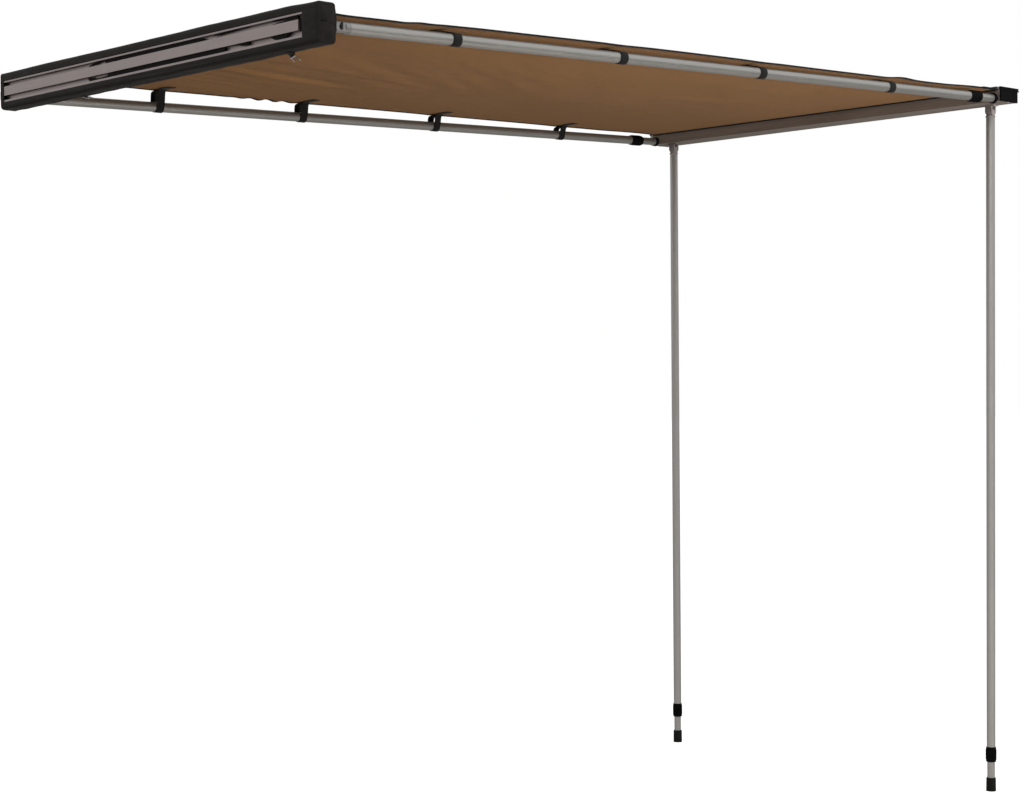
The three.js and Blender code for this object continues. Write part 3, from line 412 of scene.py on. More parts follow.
def turned(profile, at, axis, sides):
    """A turned form from (radius, height) pairs that start and end on the axis."""
    rings = profile[1:-1]
    points = [(0, 0, profile[0][1])]
    for r, h in rings:
        points += [(r * math.cos(2 * math.pi * i / sides), r * math.sin(2 * math.pi * i / sides), h)
                   for i in range(sides)]
    points.append((0, 0, profile[-1][1]))
    faces = []
    for i in range(sides):
        k = (i + 1) % sides
        faces.append((0, 1 + k, 1 + i))
        for row in range(len(rings) - 1):
            a, b = 1 + row * sides, 1 + (row + 1) * sides
            faces.append((a + i, a + k, b + k, b + i))
        a = 1 + (len(rings) - 1) * sides
        faces.append((a + i, a + k, len(points) - 1))
    swap = {"X": lambda p: (p[2], p[0], p[1]), "Y": lambda p: (p[1], p[2], p[0]), "Z": lambda p: p}[axis]
    points = [Vector(swap(p)) + Vector(at) for p in points]
    uv = [(points[i].x + points[i].y, points[i].z) for face in faces for i in face]
    return points, faces, uv


def block(low, high):
    """A small box with its edges cut off, for the zip's teeth and slider."""
    (x0, y0, z0), (x1, y1, z1) = low, high
    c = min(x1 - x0, y1 - y0, z1 - z0) * 0.25
    ring = [(x0 + c, y0), (x1 - c, y0), (x1, y0 + c), (x1, y1 - c), (x1 - c, y1), (x0 + c, y1), (x0, y1 - c),
            (x0, y0 + c)]
    centre = ((x0 + x1) / 2, (y0 + y1) / 2)
    points = []
    for z, inset in ((z0, 1), (z0 + c, 0), (z1 - c, 0), (z1, 1)):
        for x, y in ring:
            dx, dy = x - centre[0], y - centre[1]
            k = 1 - inset * 2 * c / max(x1 - x0, y1 - y0)
            points.append((centre[0] + dx * k, centre[1] + dy * k, z))
    faces = [tuple(range(7, -1, -1)), tuple(range(24, 32))]
    for row in range(3):
        for i in range(8):
            k = (i + 1) % 8
            faces.append((row * 8 + i, row * 8 + k, row * 8 + 8 + k, row * 8 + 8 + i))
    uv = [(points[i][0], points[i][2]) for face in faces for i in face]
    return points, faces, uv


def on(body, slot, *objects):
    for obj in objects:
        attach(obj, body)


def ease(t):
    """A smooth step from 0 to 1."""
    u = np.clip(t, 0, 1)
    return u * u * (3 - 2 * u)


def bell(value, middle, width):
    return np.exp(-((value - middle) / width) ** 2)


# Canopy: one cloth from the groove in the case to the groove in the rail, in two pieces that meet at a seam
def arm_height(y):
    """The height of the arms' axes."""
    return PIVOT_Z + (y - PIVOT_Y) * math.tan(TILT)


def far_side(y):
    """How far out the cloth's far edge lies, which is drawn in to reach the plate."""
    return CLOTH_TUCKED + (CLOTH_HALF - CLOTH_TUCKED) * ease((y - BAG_FRONT - 0.002) / 0.048)


def tie_places(end):
    places = []
    for number in (1, 2, 3, 4):
        low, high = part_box(f"tie_strap_{end}_{number}")
        places.append((low.y + high.y) / 2)
    return places


TIES = {end: tie_places(end) for end, _ in ENDS}

# Folds that fan out from the corners at the case: height in mm, reach and distance apart in metres
FAN_HEIGHT, FAN_REACH, FAN_PITCH = 4.0, 0.42, 0.095

# Groups of folds: lean from +Y towards -X, distance apart, height in mm, middle and reach in metres
FOLD_SETS = [
    (0.24, 0.086, 2.90, (-0.19, 0.58), (0.17, 0.30)),
    (0.30, 0.050, 1.00, (-0.30, 0.40), (0.25, 0.30)),
    (0.60, 0.085, 1.00, (0.06, 0.70), (0.22, 0.26)),
    (0.85, 0.120, 1.00, (0.06, 1.00), (0.20, 0.22)),
    (0.03, 0.180, 1.60, (0.07, 1.52), (0.22, 0.30)),
]


def cloth_folds(x, y):
    """The slack cloth's folds, in metres."""
    height = np.zeros_like(x)
    inside = 0.25 + 0.75 * ease((CLOTH_HALF - np.abs(x)) / 0.12)
    for _, side in ENDS:
        dx = CLOTH_HALF - side * x
        fade = np.exp(-np.hypot(dx, y) / FAN_REACH)
        angle = np.arctan2(y, np.maximum(dx, 1e-6))
        height += FAN_HEIGHT * fade * np.sin(angle * FAN_REACH / FAN_PITCH) * inside
    for lean, pitch, size, (mid_x, mid_y), (wide_x, wide_y) in FOLD_SETS:
        for i in np.ndindex(x.shape):
            px, py = x[i], y[i]
            patch = math.exp(-((px - mid_x) / wide_x) ** 2 - ((py - mid_y) / wide_y) ** 2)
            if patch < 0.02:
                continue
            across = px + lean * py
            drift = noise.noise(Vector((across * 7, py * 1.6, pitch * 90)))
            rise = 0.55 + 0.9 * noise.noise(Vector((across * 11, py * 2.3, pitch * 170 + 5)))
            wave = math.sin(2 * math.pi * across / pitch + 3.4 * drift)
            height[i] += size * max(rise, 0) * patch * inside[i] * (wave + 0.35 * wave * abs(wave))
    return height * MM


def cloth_wrinkles(x, y):
    """Softer, irregular wrinkles, small pulls at the ties and scallops at the edges, in metres."""
    out = np.zeros_like(x)
    inside = 0.15 + 0.85 * ease((CLOTH_HALF - np.abs(x)) / 0.14)
    for i in np.ndindex(x.shape):
        px, py = x[i], y[i]
        lean = Vector((px * 5.2 + py * 2.4, py * 1.5 - px * 0.8, 0.3))
        fine = Vector((px * 13 + py * 5, py * 4.0 - px * 2.0, 1.7))
        fade = 1.0 - 0.55 * min(1.0, py / 1.9)
        out[i] = (3.0 * noise.noise(lean) + 1.1 * noise.noise(fine)) * fade * inside[i]
    for end, side in ENDS:
        edge = CLOTH_HALF - side * x
        for place in TIES[end]:
            out -= 0.8 * bell(y, place, 0.045) * bell(edge, 0, 0.09)
    far, near = CLOTH_HALF + x, CLOTH_HALF - x
    out += 2.6 * bell(y, 0.765, 0.085) * bell(far, 0, 0.035) * np.sin(2 * math.pi * (y - 0.70) / 0.052)
    out += 0.9 * bell(y, 0.245, 0.05) * bell(near, 0, 0.06) * np.sin(2 * math.pi * (y - 0.23) / 0.09)
    return out * MM


def edge_heights(y):
    """How high the near and the far edge lie above the arms' axes, in metres."""
    near = 21.6 + 4.6 * ease((y - 0.18) / 0.18) * (1 - ease((y - 0.9) / 0.9)) + 4.0 * bell(y, 1.80, 0.045)
    line = 22 + 11.62 * (RAIL_Y - y)
    far = 28 + (line - 28) * ease((y - 0.04) / 0.20)
    return near * MM, far * MM


def cloth_height(x, y):
    """The cloth's upper face: free over the arms, and led down into the groove at each end."""
    along = (y - CLOTH_REAR) / (CLOTH_FRONT - CLOTH_REAR)
    across = x / CLOTH_HALF
    near, far = edge_heights(y)
    bulge = 0.0032 * (1 - np.exp(-(CLOTH_HALF + x) / 0.03)) * (1 - across) / 2
    edges = far + (near - far) * (1 + across) / 2 + bulge
    sag = 0.010 * np.sin(math.pi * along) * (1 - across**2) ** 2
    calm = ease((y - CLOTH_REAR - 0.02) / 0.10) * ease((CLOTH_FRONT - 0.02 - y) / 0.12)
    free = arm_height(y) + edges - sag + cloth_folds(x, y) + cloth_wrinkles(x, y) * calm
    rear, front = REAR_GROOVE[1] + CLOTH_THICK / 2, RAIL_GROOVE[1] + CLOTH_THICK / 2
    leaving = ease((y - CLOTH_REAR - 0.002) / 0.070)
    arriving = ease((CLOTH_FRONT - 0.030 - y) / (CLOTH_FRONT - CLOTH_SEAM))
    return front + (rear + (free - rear) * leaving - front) * arriving


COLUMNS = 104


def cloth_piece(name, ys):
    """A closed sheet with one row of points at each of ys."""
    rows, wide = len(ys), COLUMNS + 1
    layer = rows * wide
    x = np.array([np.linspace(-far_side(at), CLOTH_HALF, wide) for at in ys])
    y = np.repeat(ys, wide).reshape(rows, wide)
    z = cloth_height(x, y)
    slope_x = np.gradient(z, axis=1) / np.gradient(x, axis=1)
    slope_y = np.gradient(z, axis=0) / np.gradient(y, axis=0)
    size = np.sqrt(1 + slope_x**2 + slope_y**2)
    top = np.stack([x, y, z], -1).reshape(-1, 3)
    down = np.stack([slope_x / size, slope_y / size, -1 / size], -1).reshape(-1, 3) * CLOTH_THICK
    points = np.vstack([top, top + down])
    middle = z[:, wide // 2]
    lengths = [math.hypot(ys[j + 1] - ys[j], middle[j + 1] - middle[j]) for j in range(rows - 1)]
    run = np.cumsum([0.0] + lengths)
    flat = np.zeros((2 * layer, 2))
    flat[:, 0] = np.tile(x.ravel(), 2)
    flat[:, 1] = np.tile(np.repeat(run + ys[0], wide), 2)
    faces = []
    for j in range(rows - 1):
        for i in range(COLUMNS):
            a = j * wide + i
            faces.append((a, a + 1, a + wide + 1, a + wide))
            faces.append((layer + a, layer + a + wide, layer + a + wide + 1, layer + a + 1))
    for i in range(COLUMNS):
        faces.append((layer + i, layer + i + 1, i + 1, i))
        b = (rows - 1) * wide + i
        faces.append((b, b + 1, layer + b + 1, layer + b))
    for j in range(rows - 1):
        a = j * wide
        faces.append((a, a + wide, layer + a + wide, layer + a))
        b = a + COLUMNS
        faces.append((layer + b, layer + b + wide, b + wide, b))
    uv = [tuple(flat[i]) for face in faces for i in face]
    return piece(name, points, faces, CANOPY, uv)


def rows_between(start, end, pitch):
    return np.linspace(start, end, max(2, round((end - start) / pitch) + 1))


HINGE = ("case", "deck", (0, 0.02, 0), (0, 0.20, 0))
SLIDE = ("deck", "rail", (0, CLOTH_SEAM, 0), (0, 2.19, 0))
ROW_PITCH = 0.0125
rear_rows = np.concatenate([rows_between(CLOTH_REAR, 0.10, 0.006),
                            rows_between(0.10, CLOTH_SEAM, ROW_PITCH)[1:]])
front_rows = rows_between(CLOTH_SEAM, CLOTH_FRONT, ROW_PITCH)
canopy = cloth_piece("canopy_cloth", rear_rows)
canopy_front = cloth_piece("canopy_front_cloth", front_rows)
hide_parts("canopy_rear_panel", "canopy_main_panel")
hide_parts("canopy_front_panel")


def edge_path(side, ys):
    x = np.array([side * (CLOTH_HALF if side > 0 else far_side(y)) for y in ys])
    z = cloth_height(x[None, :], np.array(ys)[None, :])[0] - CLOTH_THICK / 2
    return [Vector(p) for p in zip(x, ys, z)]


# Binding: a tape folded over the cloth's side edges
UPPER_FOLD = [(0.0080, 0.0009), (0.0075, 0.0012), (0.0045, 0.0013), (0.0015, 0.0014), (-0.0008, 0.0011)]
FOLD = [*UPPER_FOLD, (-0.0014, 0.0), *((u, -v) for u, v in UPPER_FOLD[::-1])]
bindings = {}
for end, side in ENDS:
    for part, ys in (("rear", rear_rows), ("front", front_rows)):
        fine = rows_between(ys[0], ys[-1], 0.008)
        points, faces, uv = swept(edge_path(side, fine), Vector((-side, 0, 0)), FOLD)
        bindings[end, part] = piece(f"canopy_binding_{part}_{end}", points, faces, BINDING, uv)


# Tapes across the canopy at both grooves, and a bead along the front one
def cross_tape(name, y0, y1, half, thick):
    xs = np.linspace(-half, half, 90)
    middle = np.full_like(xs, (y0 + y1) / 2)
    z = cloth_height(xs[None, :], middle[None, :])[0] - CLOTH_THICK / 2
    path = [Vector(p) for p in zip(xs, middle, z)]
    return merged(name, [swept(path, (0, 1, 0), strip(y1 - y0, thick))], BINDING)


front_hem = cross_tape("canopy_front_hem", 2.1985, 2.2065, CLOTH_HALF - 0.001, 0.0026)
rear_hem = cross_tape("canopy_rear_hem", 0.0205, 0.0285, 0.560, 0.0022)
# The bead is partly the hem's rolled edge and partly painted shade: its black draws the dark line of the
# rail's groove where the cloth goes in
bead_line = [(x, 2.2022, 0.0722) for x in np.linspace(-CLOTH_HALF, CLOTH_HALF, 60)]
bead = merged("canopy_front_bead", [swept(bead_line, (0, 1, 0), circle(0.0021, 10))], BINDING)
on("rail", "webbing", front_hem, bead)
on("case", "webbing", rear_hem)


def edge_cord(name, node, centre, body, flap):
    """The cord in a groove: a round core in a sewn cover, with the cover's flap out through the slit."""
    low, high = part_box(node)
    path = [(x, *centre) for x in np.linspace(low.x, high.x, 40)]
    core = [(-flap * r, v) for r, v in circle(0.0037, 16)]
    lips = [(0.0, 0.0011), (0.0078, 0.0011), (0.0078, -0.0011), (0.0, -0.0011)]
    cord = merged(name, [swept(path, (0, 1, 0), core), swept(path, (0, flap, 0), lips)], BINDING)
    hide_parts(node)
    on(body, "webbing", cord)


edge_cord("rear_keder", "rear_edge_cord", REAR_GROOVE, "case", 1)
edge_cord("front_keder", "front_edge_cord", RAIL_GROOVE, "rail", -1)


# Reinforced corners: webbing tabs from the cloth's front corners to the top of the rail
for end, side in ENDS:
    x = side * 0.5925
    start = cloth_height(np.array([[x]]), np.array([[2.150]]))[0, 0]
    path = smooth_path([(x, 2.150, start + 0.0022), (x, 2.178, 0.0768), (x, 2.199, 0.0782),
                        (x, 2.2045, 0.0808), (x, 2.211, 0.0813), (x, 2.226, 0.0813)], 4)
    tab = merged(f"corner_tab_{end}", [swept(path, (1, 0, 0), strip(0.026, 0.0016))], WEBBING)
    on("rail", "webbing", tab)

for name, cloth, hinge in (("rear", canopy, HINGE), ("front", canopy_front, SLIDE)):
    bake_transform(cloth)
    for end, _ in ENDS:
        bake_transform(bindings[end, name])


# Tie straps: a loop round the arm that is sewn to the canopy, with its tail under the cloth
def tie_strap(end, side, number, place):
    x = side * ARM_X
    arm_z = arm_height(place)
    spots = np.array([[x - side * inwards for inwards in (0, 0.02, 0.04, 0.054, 0.066)]])
    under = cloth_height(spots, np.full_like(spots, place))[0] - arm_z - CLOTH_THICK
    above, tail_1, tail_2, tail_3, tail_4 = under / MM - 1.5
    if side > 0:
        tail = [(-66, tail_4), (-56, tail_3), (-46, tail_2 - 0.8), (-34, tail_1 - 2.6), (-21, 18.2)]
        loop = [(-13.2, 11.5), (-13.4, 0), (-9.4, -9.2), (0, -13.1), (9.4, -9.2), (13.1, 0),
                (9.5, 9.4), (0.5, 13.4), (-10, 15.2), (-22, 16.4)]
    else:
        tail = [(-66, tail_4), (-42, tail_2), (-27, tail_1 - 0.4)]
        loop = [(-19.0, above - 4.2), (-15.6, 12), (-13.2, 1), (-9.4, -9.0), (0, -13.0), (9.4, -9.0),
                (12.9, 0), (13.6, 9.0), (12.4, above - 9), (8.0, above - 3.6), (0, above - 2.2),
                (-10, above - 2.0)]
    path = [(x + side * out * MM, place, arm_z + up * MM) for out, up in tail + loop]
    strap = swept(smooth_path(path, 6), (0, 1, 0), strip(0.022, 0.0014))
    tie = merged(f"canopy_tie_{end}_{number}", [strap], WEBBING)
    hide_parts(f"tie_strap_{end}_{number}")
    on("deck", "webbing", tie)


for end, side in ENDS:
    for number, place in enumerate(TIES[end], 1):
        tie_strap(end, side, number, place)


# Bag: a sagging shell round the plate, open along its front
def bag_outline():
    """Outer points from the mouth's top over the top, the rear and the bottom to the mouth's lower edge."""
    def between(a, b, count):
        return [(a[0] + (b[0] - a[0]) * i / count, a[1] + (b[1] - a[1]) * i / count) for i in range(1, count)]

    corners = [(BAG_FRONT - 0.006, BAG_TOP - 0.006, 0.006), (0.0065, BAG_TOP - 0.0062, 0.006),
               (0.0065, BAG_LOW + 0.0062, 0.006), (BAG_FRONT - 0.007, BAG_LOW + 0.007, 0.007)]
    rounds = []
    for quarter, (y, z, radius) in enumerate(corners):
        turns = [math.radians(90 * quarter + 18 * i) for i in range(6)]
        rounds.append([(y + radius * math.cos(a), z + radius * math.sin(a)) for a in turns])
    upper, lower = (0.0005, PLATE_EDGE), (0.0005, -PLATE_EDGE)
    line = [(BAG_FRONT, MOUTH_TOP), *rounds[0], *between(rounds[0][-1], rounds[1][0], 9), *rounds[1]]
    line += between(line[-1], upper, 3) + [upper]
    line += between(upper, lower, 9) + [lower]
    line += between(lower, rounds[2][0], 3) + rounds[2]
    line += between(rounds[2][-1], rounds[3][0], 9) + rounds[3] + [(BAG_FRONT, MOUTH_LOW)]
    return line


def bag_normals(line):
    """The outward direction at each point of the section."""
    normals = []
    for i in range(len(line)):
        a, b = line[max(i - 1, 0)], line[min(i + 1, len(line) - 1)]
        dy, dz = b[0] - a[0], b[1] - a[1]
        size = math.hypot(dy, dz)
        normals.append((dz / size, -dy / size))
    return normals


OUTLINE = bag_outline()
NORMALS = bag_normals(OUTLINE)
REAR_FACE = 0.003
END_PART = PLATE_END + 0.004  # where the bag stands free of the plate
NEAR_DOME = 0.0046  # how far the near end bulges


def bag_relief(x, y, z):
    """How far the bag's skin stands out from its plain section, in millimetres."""
    relief = 1.5 * noise.noise(Vector((x * 6.5, y * 22, z * 24 + 3)))
    relief += 0.7 * noise.noise(Vector((x * 24, y * 50 + x * 9, z * 55)))
    if y < REAR_FACE:
        crease = -0.0302 - 0.004 * (x - 0.1)
        run = ease((x + 0.06) / 0.06) * ease((0.27 - x) / 0.05)
        relief += (bell(z, crease - 0.004, 0.003) - 1.9 * bell(z, crease, 0.0016)) * run
    end = ease((x - 0.566) / 0.012)
    relief -= 2.4 * bell(z, 0.0020 - (BAG_NEAR - x) * 0.10, 0.0020) * end
    relief -= 1.6 * bell(z, -0.0095 - (BAG_NEAR - x) * 0.35, 0.0022) * ease((x - 0.580) / 0.01)
    return relief + (1.3 * bell(z, 0.013, 0.012) + bell(z, -0.022, 0.008)) * end


def bag_sag(x, z):
    """How far the bag's bottom hangs down between its ends."""
    low = ease((-z - 0.024) / 0.010)
    waves = 0.0008 + 0.0004 * math.sin(8.7 * x + 1.0) + 0.0003 * math.sin(21 * x)
    return low * waves * ease((x - BAG_FAR) / 0.06) * ease((BAG_NEAR - x) / 0.08)


def bag_rise(x, z):
    """How far the full bag's top stands above the plain section."""
    full = 0.0039 + 0.0014 * ease((0.10 - x) / 0.6) - 0.0030 * ease((x - 0.50) / 0.10)
    return ease((z - 0.0265) / 0.008) * (full - 0.0005 * math.sin(6.1 * x + 2.0) ** 2)


def bag_point(x, index):
    """The point of the bag's skin at x and at a point of the section."""
    y, z = OUTLINE[index]
    ny, nz = NORMALS[index]
    held = 1.0
    if y < REAR_FACE and abs(z) < PLATE_EDGE + 0.006 and x < END_PART:
        held = ease((abs(z) - PLATE_EDGE) / 0.006)
    if y > BAG_FRONT - 0.001 and (z > MOUTH_TOP - 0.002 or z < MOUTH_LOW + 0.002):
        held = min(held, 0.5)
    out = bag_relief(x, y, z) * held * MM
    out *= 1 - 0.6 * ease((z - 0.024) / 0.008)
    if ny < -0.5:
        out = min(out, 0.0003)
    if x > END_PART and y > 0.030:
        out = max(min(out, 0.0004), -0.0004)
    return Vector((x, y + ny * out, z + nz * out - bag_sag(x, z) + bag_rise(x, z)))


def near_inset(x, radius=0.005):
    """The rounding of the near end's edges."""
    past = max(x - (BAG_NEAR - radius), 0)
    return radius - math.sqrt(max(radius**2 - past**2, 0))


def end_seam_height(y):
    return 0.0035 - 0.24 * (y - 0.005)


def bag_stations():
    """The sections' places along X, closer together at both ends."""
    seam = [BAG_FAR + d for d in (0.0, 0.0015, 0.004, 0.009)]
    start, end = -PLATE_END - 0.0005, PLATE_END + 0.0005
    corner = [BAG_NEAR - d for d in (0.0050, 0.0034, 0.0021, 0.0011, 0.0004, 0.0)]
    return [*seam, *np.linspace(start, end, 150), *np.linspace(end, BAG_NEAR - 0.008, 12)[1:], *corner]


def close_end(rim, x, side, points, faces, uv):
    """Closes an end of the bag with smaller and smaller rings, domed and a little wrinkled."""
    centre = Vector((x, BAG_FRONT / 2, -0.002))
    depth, tip = (0.0048, NEAR_DOME) if side > 0 else (0.0022, -0.0008)

    def add(face):
        faces.append(face if side < 0 else face[::-1])
        uv.extend((points[j].y, points[j].z) for j in faces[-1])

    previous = rim
    for scale in (0.93, 0.80, 0.62, 0.42, 0.22):
        ring = []
        for i in rim:
            y = centre.y + (points[i].y - centre.y) * scale
            z = centre.z + (points[i].z - centre.z) * scale
            crease = -0.0012 * bell(z, end_seam_height(y), 0.0030)
            wrinkle = 0.0010 * noise.noise(Vector((y * 60, z * 60, side * 4.0))) * (1 - scale**4)
            points.append(Vector((x + side * ((1 - scale**3) * depth + crease + wrinkle), y, z)))
            ring.append(len(points) - 1)
        for i in range(len(rim)):
            k = (i + 1) % len(rim)
            add((previous[i], ring[i], ring[k], previous[k]))
        previous = ring
    points.append(centre + Vector((tip, 0, 0)))
    for i in range(len(rim)):
        add((previous[i], len(points) - 1, previous[(i + 1) % len(rim)]))


LIP_STEPS = 8


def bag_shell():
    stations = bag_stations()
    count = len(OUTLINE)
    points, faces, uv = [], [], []
    girth = np.cumsum([0.0] + [math.dist(a, b) for a, b in zip(OUTLINE, OUTLINE[1:])])
    for x in stations:
        shrink = 0.0012 * (1 - ease((x - BAG_FAR) / 0.004)) + near_inset(x)
        points += [bag_point(x, i) - Vector((0, *NORMALS[i])) * shrink for i in range(count)]
    for s in range(len(stations) - 1):
        x = (stations[s] + stations[s + 1]) / 2
        for i in range(count - 1):
            (y0, z0), (y1, z1) = OUTLINE[i], OUTLINE[i + 1]
            behind_plate = y0 < 0.001 and y1 < 0.001 and max(abs(z0), abs(z1)) < PLATE_EDGE + 1e-6
            if behind_plate and abs(x) < PLATE_END:
                continue
            a = s * count + i
            faces.append((a, a + count, a + count + 1, a + 1))
            u0, u1 = girth[i], girth[i + 1]
            uv += [(u0, stations[s]), (u0, stations[s + 1]), (u1, stations[s + 1]), (u1, stations[s])]
    # The mouth is closed at the far edge and over the last 12 mm of the near end
    columns = {}
    for s, x in enumerate(stations):
        if s == 0 or x > BAG_NEAR - 0.012:
            between = range(len(points), len(points) + LIP_STEPS - 1)
            columns[s] = [s * count + count - 1, *between, s * count]
            for i in range(1, LIP_STEPS):
                z = MOUTH_LOW + (MOUTH_TOP - MOUTH_LOW) * i / LIP_STEPS
                bulge = (0.0030 if s else -0.0015) * math.sin(math.pi * i / LIP_STEPS)
                points.append(Vector((x, BAG_FRONT + bulge - (near_inset(x) if s else 0), z)))
    wrapped = sorted(columns)[1:]
    for a, b in zip(wrapped, wrapped[1:]):
        for i in range(LIP_STEPS):
            faces.append((columns[a][i], columns[b][i], columns[b][i + 1], columns[a][i + 1]))
            uv += [(points[j].z, points[j].x) for j in faces[-1]]
    for side, s in ((-1, 0), (1, len(stations) - 1)):
        rim = [s * count + i for i in range(count)] + columns[s][1:-1]
        close_end(rim, stations[s], side, points, faces, uv)
    shell = piece("bag_cover", points, faces, BAG, uv)
    skin = shell.modifiers.new("skin", "SOLIDIFY")
    skin.thickness = 0.0012
    skin.offset = -1
    return shell


bag = bag_shell()
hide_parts("bag_top_panel", "bag_bottom_panel", "bag_end_near", "bag_end_far")
on("case", "bag_fabric", bag)

# Piping round the far end of the bag
x = BAG_FAR + 0.0006
loop = [bag_point(x, i) + Vector((0, *NORMALS[i])) * 0.0004 for i in range(len(OUTLINE))]
loop += [Vector((x, BAG_FRONT - 0.0012, MOUTH_LOW + (MOUTH_TOP - MOUTH_LOW) * i / 6)) for i in range(1, 6)]
piping = swept(loop + loop[:1], (1, 0, 0), circle(0.0013, 8))
on("case", "bag_fabric", merged("bag_piping_far", [piping], WEBBING))

# Seam across the near end
seam_line = []
for y in np.linspace(0.0056, BAG_FRONT - 0.0056, 15):
    inner = abs(y - BAG_FRONT / 2) / (BAG_FRONT / 2 - 0.005)
    seam_line.append(Vector((BAG_NEAR + NEAR_DOME * (1 - inner**3) - 0.0004, y, end_seam_height(y))))
on("case", "bag_fabric", merged("bag_end_seam", [swept(seam_line, (1, 0, 0), circle(0.0008, 8))], BINDING))

TOOTH_PITCH, TOOTH_LENGTH = 0.0026, 0.0026


# Zip: a tape with teeth on each edge of the mouth, and a slider on the lower one
def zip_half(name, z_edge, direction):
    x0, x1 = BAG_FAR + 0.004, BAG_NEAR - 0.008
    y = BAG_FRONT + 0.0010
    height = z_edge - direction * 0.0036
    path = [(x, y + 0.0003 * math.sin(17 * x), height + 0.0004 * math.sin(9 * x + 1))
            for x in np.linspace(x0, x1, 120)]
    parts = [swept(path, (0, 0, 1), strip(0.0072, 0.0011))]
    for i in range(int((x1 - x0) / TOOTH_PITCH)):
        x = x0 + TOOTH_PITCH * (i + 0.5)
        low = z_edge - direction * 0.0008 + 0.0004 * math.sin(9 * x + 1)
        z0, z1 = sorted((low, low + direction * TOOTH_LENGTH))
        parts.append(block((x - 0.0007, y - 0.0006, z0), (x + 0.0007, y + 0.0012, z1)))
    return merged(name, parts, BLACK)


zip_low = zip_half("zip_lower", MOUTH_LOW, 1)
zip_top = zip_half("zip_upper", MOUTH_TOP, -1)
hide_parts("bag_zip")
on("case", "black_plastic", zip_low, zip_top)
slider_x = BAG_FAR + 0.016
slider = merged("zip_slider", [
    block((slider_x - 0.006, BAG_FRONT + 0.0012, MOUTH_LOW - 0.003),
          (slider_x + 0.006, BAG_FRONT + 0.0046, MOUTH_LOW + 0.003)),
    block((slider_x - 0.0022, BAG_FRONT + 0.0044, MOUTH_LOW - 0.013),
          (slider_x + 0.0022, BAG_FRONT + 0.0058, MOUTH_LOW + 0.002)),
], STEEL)
on("case", "steel", slider)


# Stow straps under the bag, with a two-pronged metal end
def stow_strap(end):
    low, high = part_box(f"stow_strap_{end}")
    x = (low.x + high.x) / 2
    top = high.z - 0.0012
    y = high.y
    hang = {"near": 1.0, "far": 0.4}[end]
    drops = [(-1, -14.5, 0), (0, -6, 0.4), (1, -1.6, 1.4), (2, 0.5, 3.0), (3, 2.0, 5.0)]
    corners = [(x + right * MM, y + out * MM, top - drop * hang * MM) for right, out, drop in drops]
    across = (1, 0, -0.10)
    band = swept(smooth_path(corners, 4), across, strip(0.024, 0.0016))
    strap = merged(f"stow_webbing_{end}", [band], WEBBING)
    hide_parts(f"stow_strap_{end}")
    on("case", "webbing", strap)

    def spot(right, drop):
        return Vector((x + right * MM, y + 0.0040, high.z - drop * hang * MM))

    prongs = [(spot(-7.2, 9.4), spot(-3.8, 11.5), spot(5.0, 17.2)),
              (spot(6.2, 6.3), spot(9.6, 8.4), spot(23.5, 16.8))]
    parts = [swept(smooth_path(prong, 4), (0, 1, 0), circle(0.0009, 10)) for prong in prongs]
    parts.append(swept([spot(-8.0, 9.6), spot(7.0, 6.1)], (0, 1, 0), strip(0.0026, 0.0030)))
    hook = merged(f"stow_hook_{end}", parts, STEEL)
    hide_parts(f"stow_buckle_{end}")
    on("case", "steel", hook)


for end, _ in ENDS:
    stow_strap(end)


# Dark sheets in the plate's slots and in the notch at its end, which stand in for the shade and dark
# reflections there: painted shade. Outlines are (mm along X, share of the slot's mouth).
def painted_slot_shade(name, outlines, low, high):
    made = []
    for number, outline in enumerate(outlines):
        corners = [(x * MM, 0, low + (high - low) * share) for x, share in outline]
        edge = smooth_path(corners + corners[:1], 3)[:-1]
        count = len(edge)
        middle = sum(edge, Vector()) / count
        points = []
        for depth, shrink in ((0.0050, 1.0), (0.0034, 1.0), (0.0026, 0.94)):
            for p in edge:
                fold = 0.0005 * noise.noise(Vector((p.x * 60, number, 3)))
                points.append(Vector((middle.x + (p.x - middle.x) * (1 - (1 - shrink) * 0.05), depth + fold,
                                      middle.z + (p.z - middle.z) * shrink)))
        faces = [tuple(range(count)), tuple(range(3 * count - 1, 2 * count - 1, -1))]
        for row in range(2):
            for i in range(count):
                k = (i + 1) % count
                a = row * count
                faces.append((a + i, a + count + i, a + count + k, a + k))
        made.append((points, faces, [(points[i].x, points[i].z) for face in faces for i in face]))
    on("case", "bag_fabric", merged(name, made, PAINTED_SLOT_SHADE))


# Painted shade in the upper and lower slots and in the notch at the plate's end
painted_slot_shade("painted_slot_shade_upper", [
    [(-201, 0.06), (-188, 0.05), (-172, 0.45), (-150, 0.78), (-136, 0.76), (-131, 0.10), (-112, 0.05),
     (-88, 0.34), (-68, 0.42), (-58, 0.12), (-46, 0.03), (60, 0.03), (190, 0.03), (224, 0.28), (236, 0.50),
     (228, 0.80), (190, 0.97), (60, 0.97), (-60, 0.97), (-150, 0.97), (-176, 0.90), (-192, 0.50)],
    [(266, 0.60), (290, 0.62), (330, 0.74), (365, 0.86), (392, 0.94), (365, 0.97), (310, 0.97), (278, 0.80)],
    [(455, 0.03), (480, 0.03), (540, 0.03), (545, 0.50), (540, 0.96), (505, 0.97), (468, 0.95), (466, 0.80),
     (500, 0.74), (512, 0.52), (480, 0.28)],
], 0.0112, 0.0200)
painted_slot_shade("painted_slot_shade_lower", [
    [(-205, 0.70), (-196, 0.12), (-178, 0.04), (-120, 0.03), (100, 0.03), (293, 0.03), (304, 0.55),
     (296, 0.96), (100, 0.97), (-108, 0.97), (-122, 0.62), (-140, 0.42), (-172, 0.40), (-188, 0.84),
     (-198, 0.94)],
    [(334, 0.95), (350, 0.78), (364, 0.50), (382, 0.46), (388, 0.66), (385, 0.95), (362, 0.97)],
    [(457, 0.94), (466, 0.45), (474, 0.20), (502, 0.20), (510, 0.45), (520, 0.92), (490, 0.97)],
], -0.0192, -0.0092)
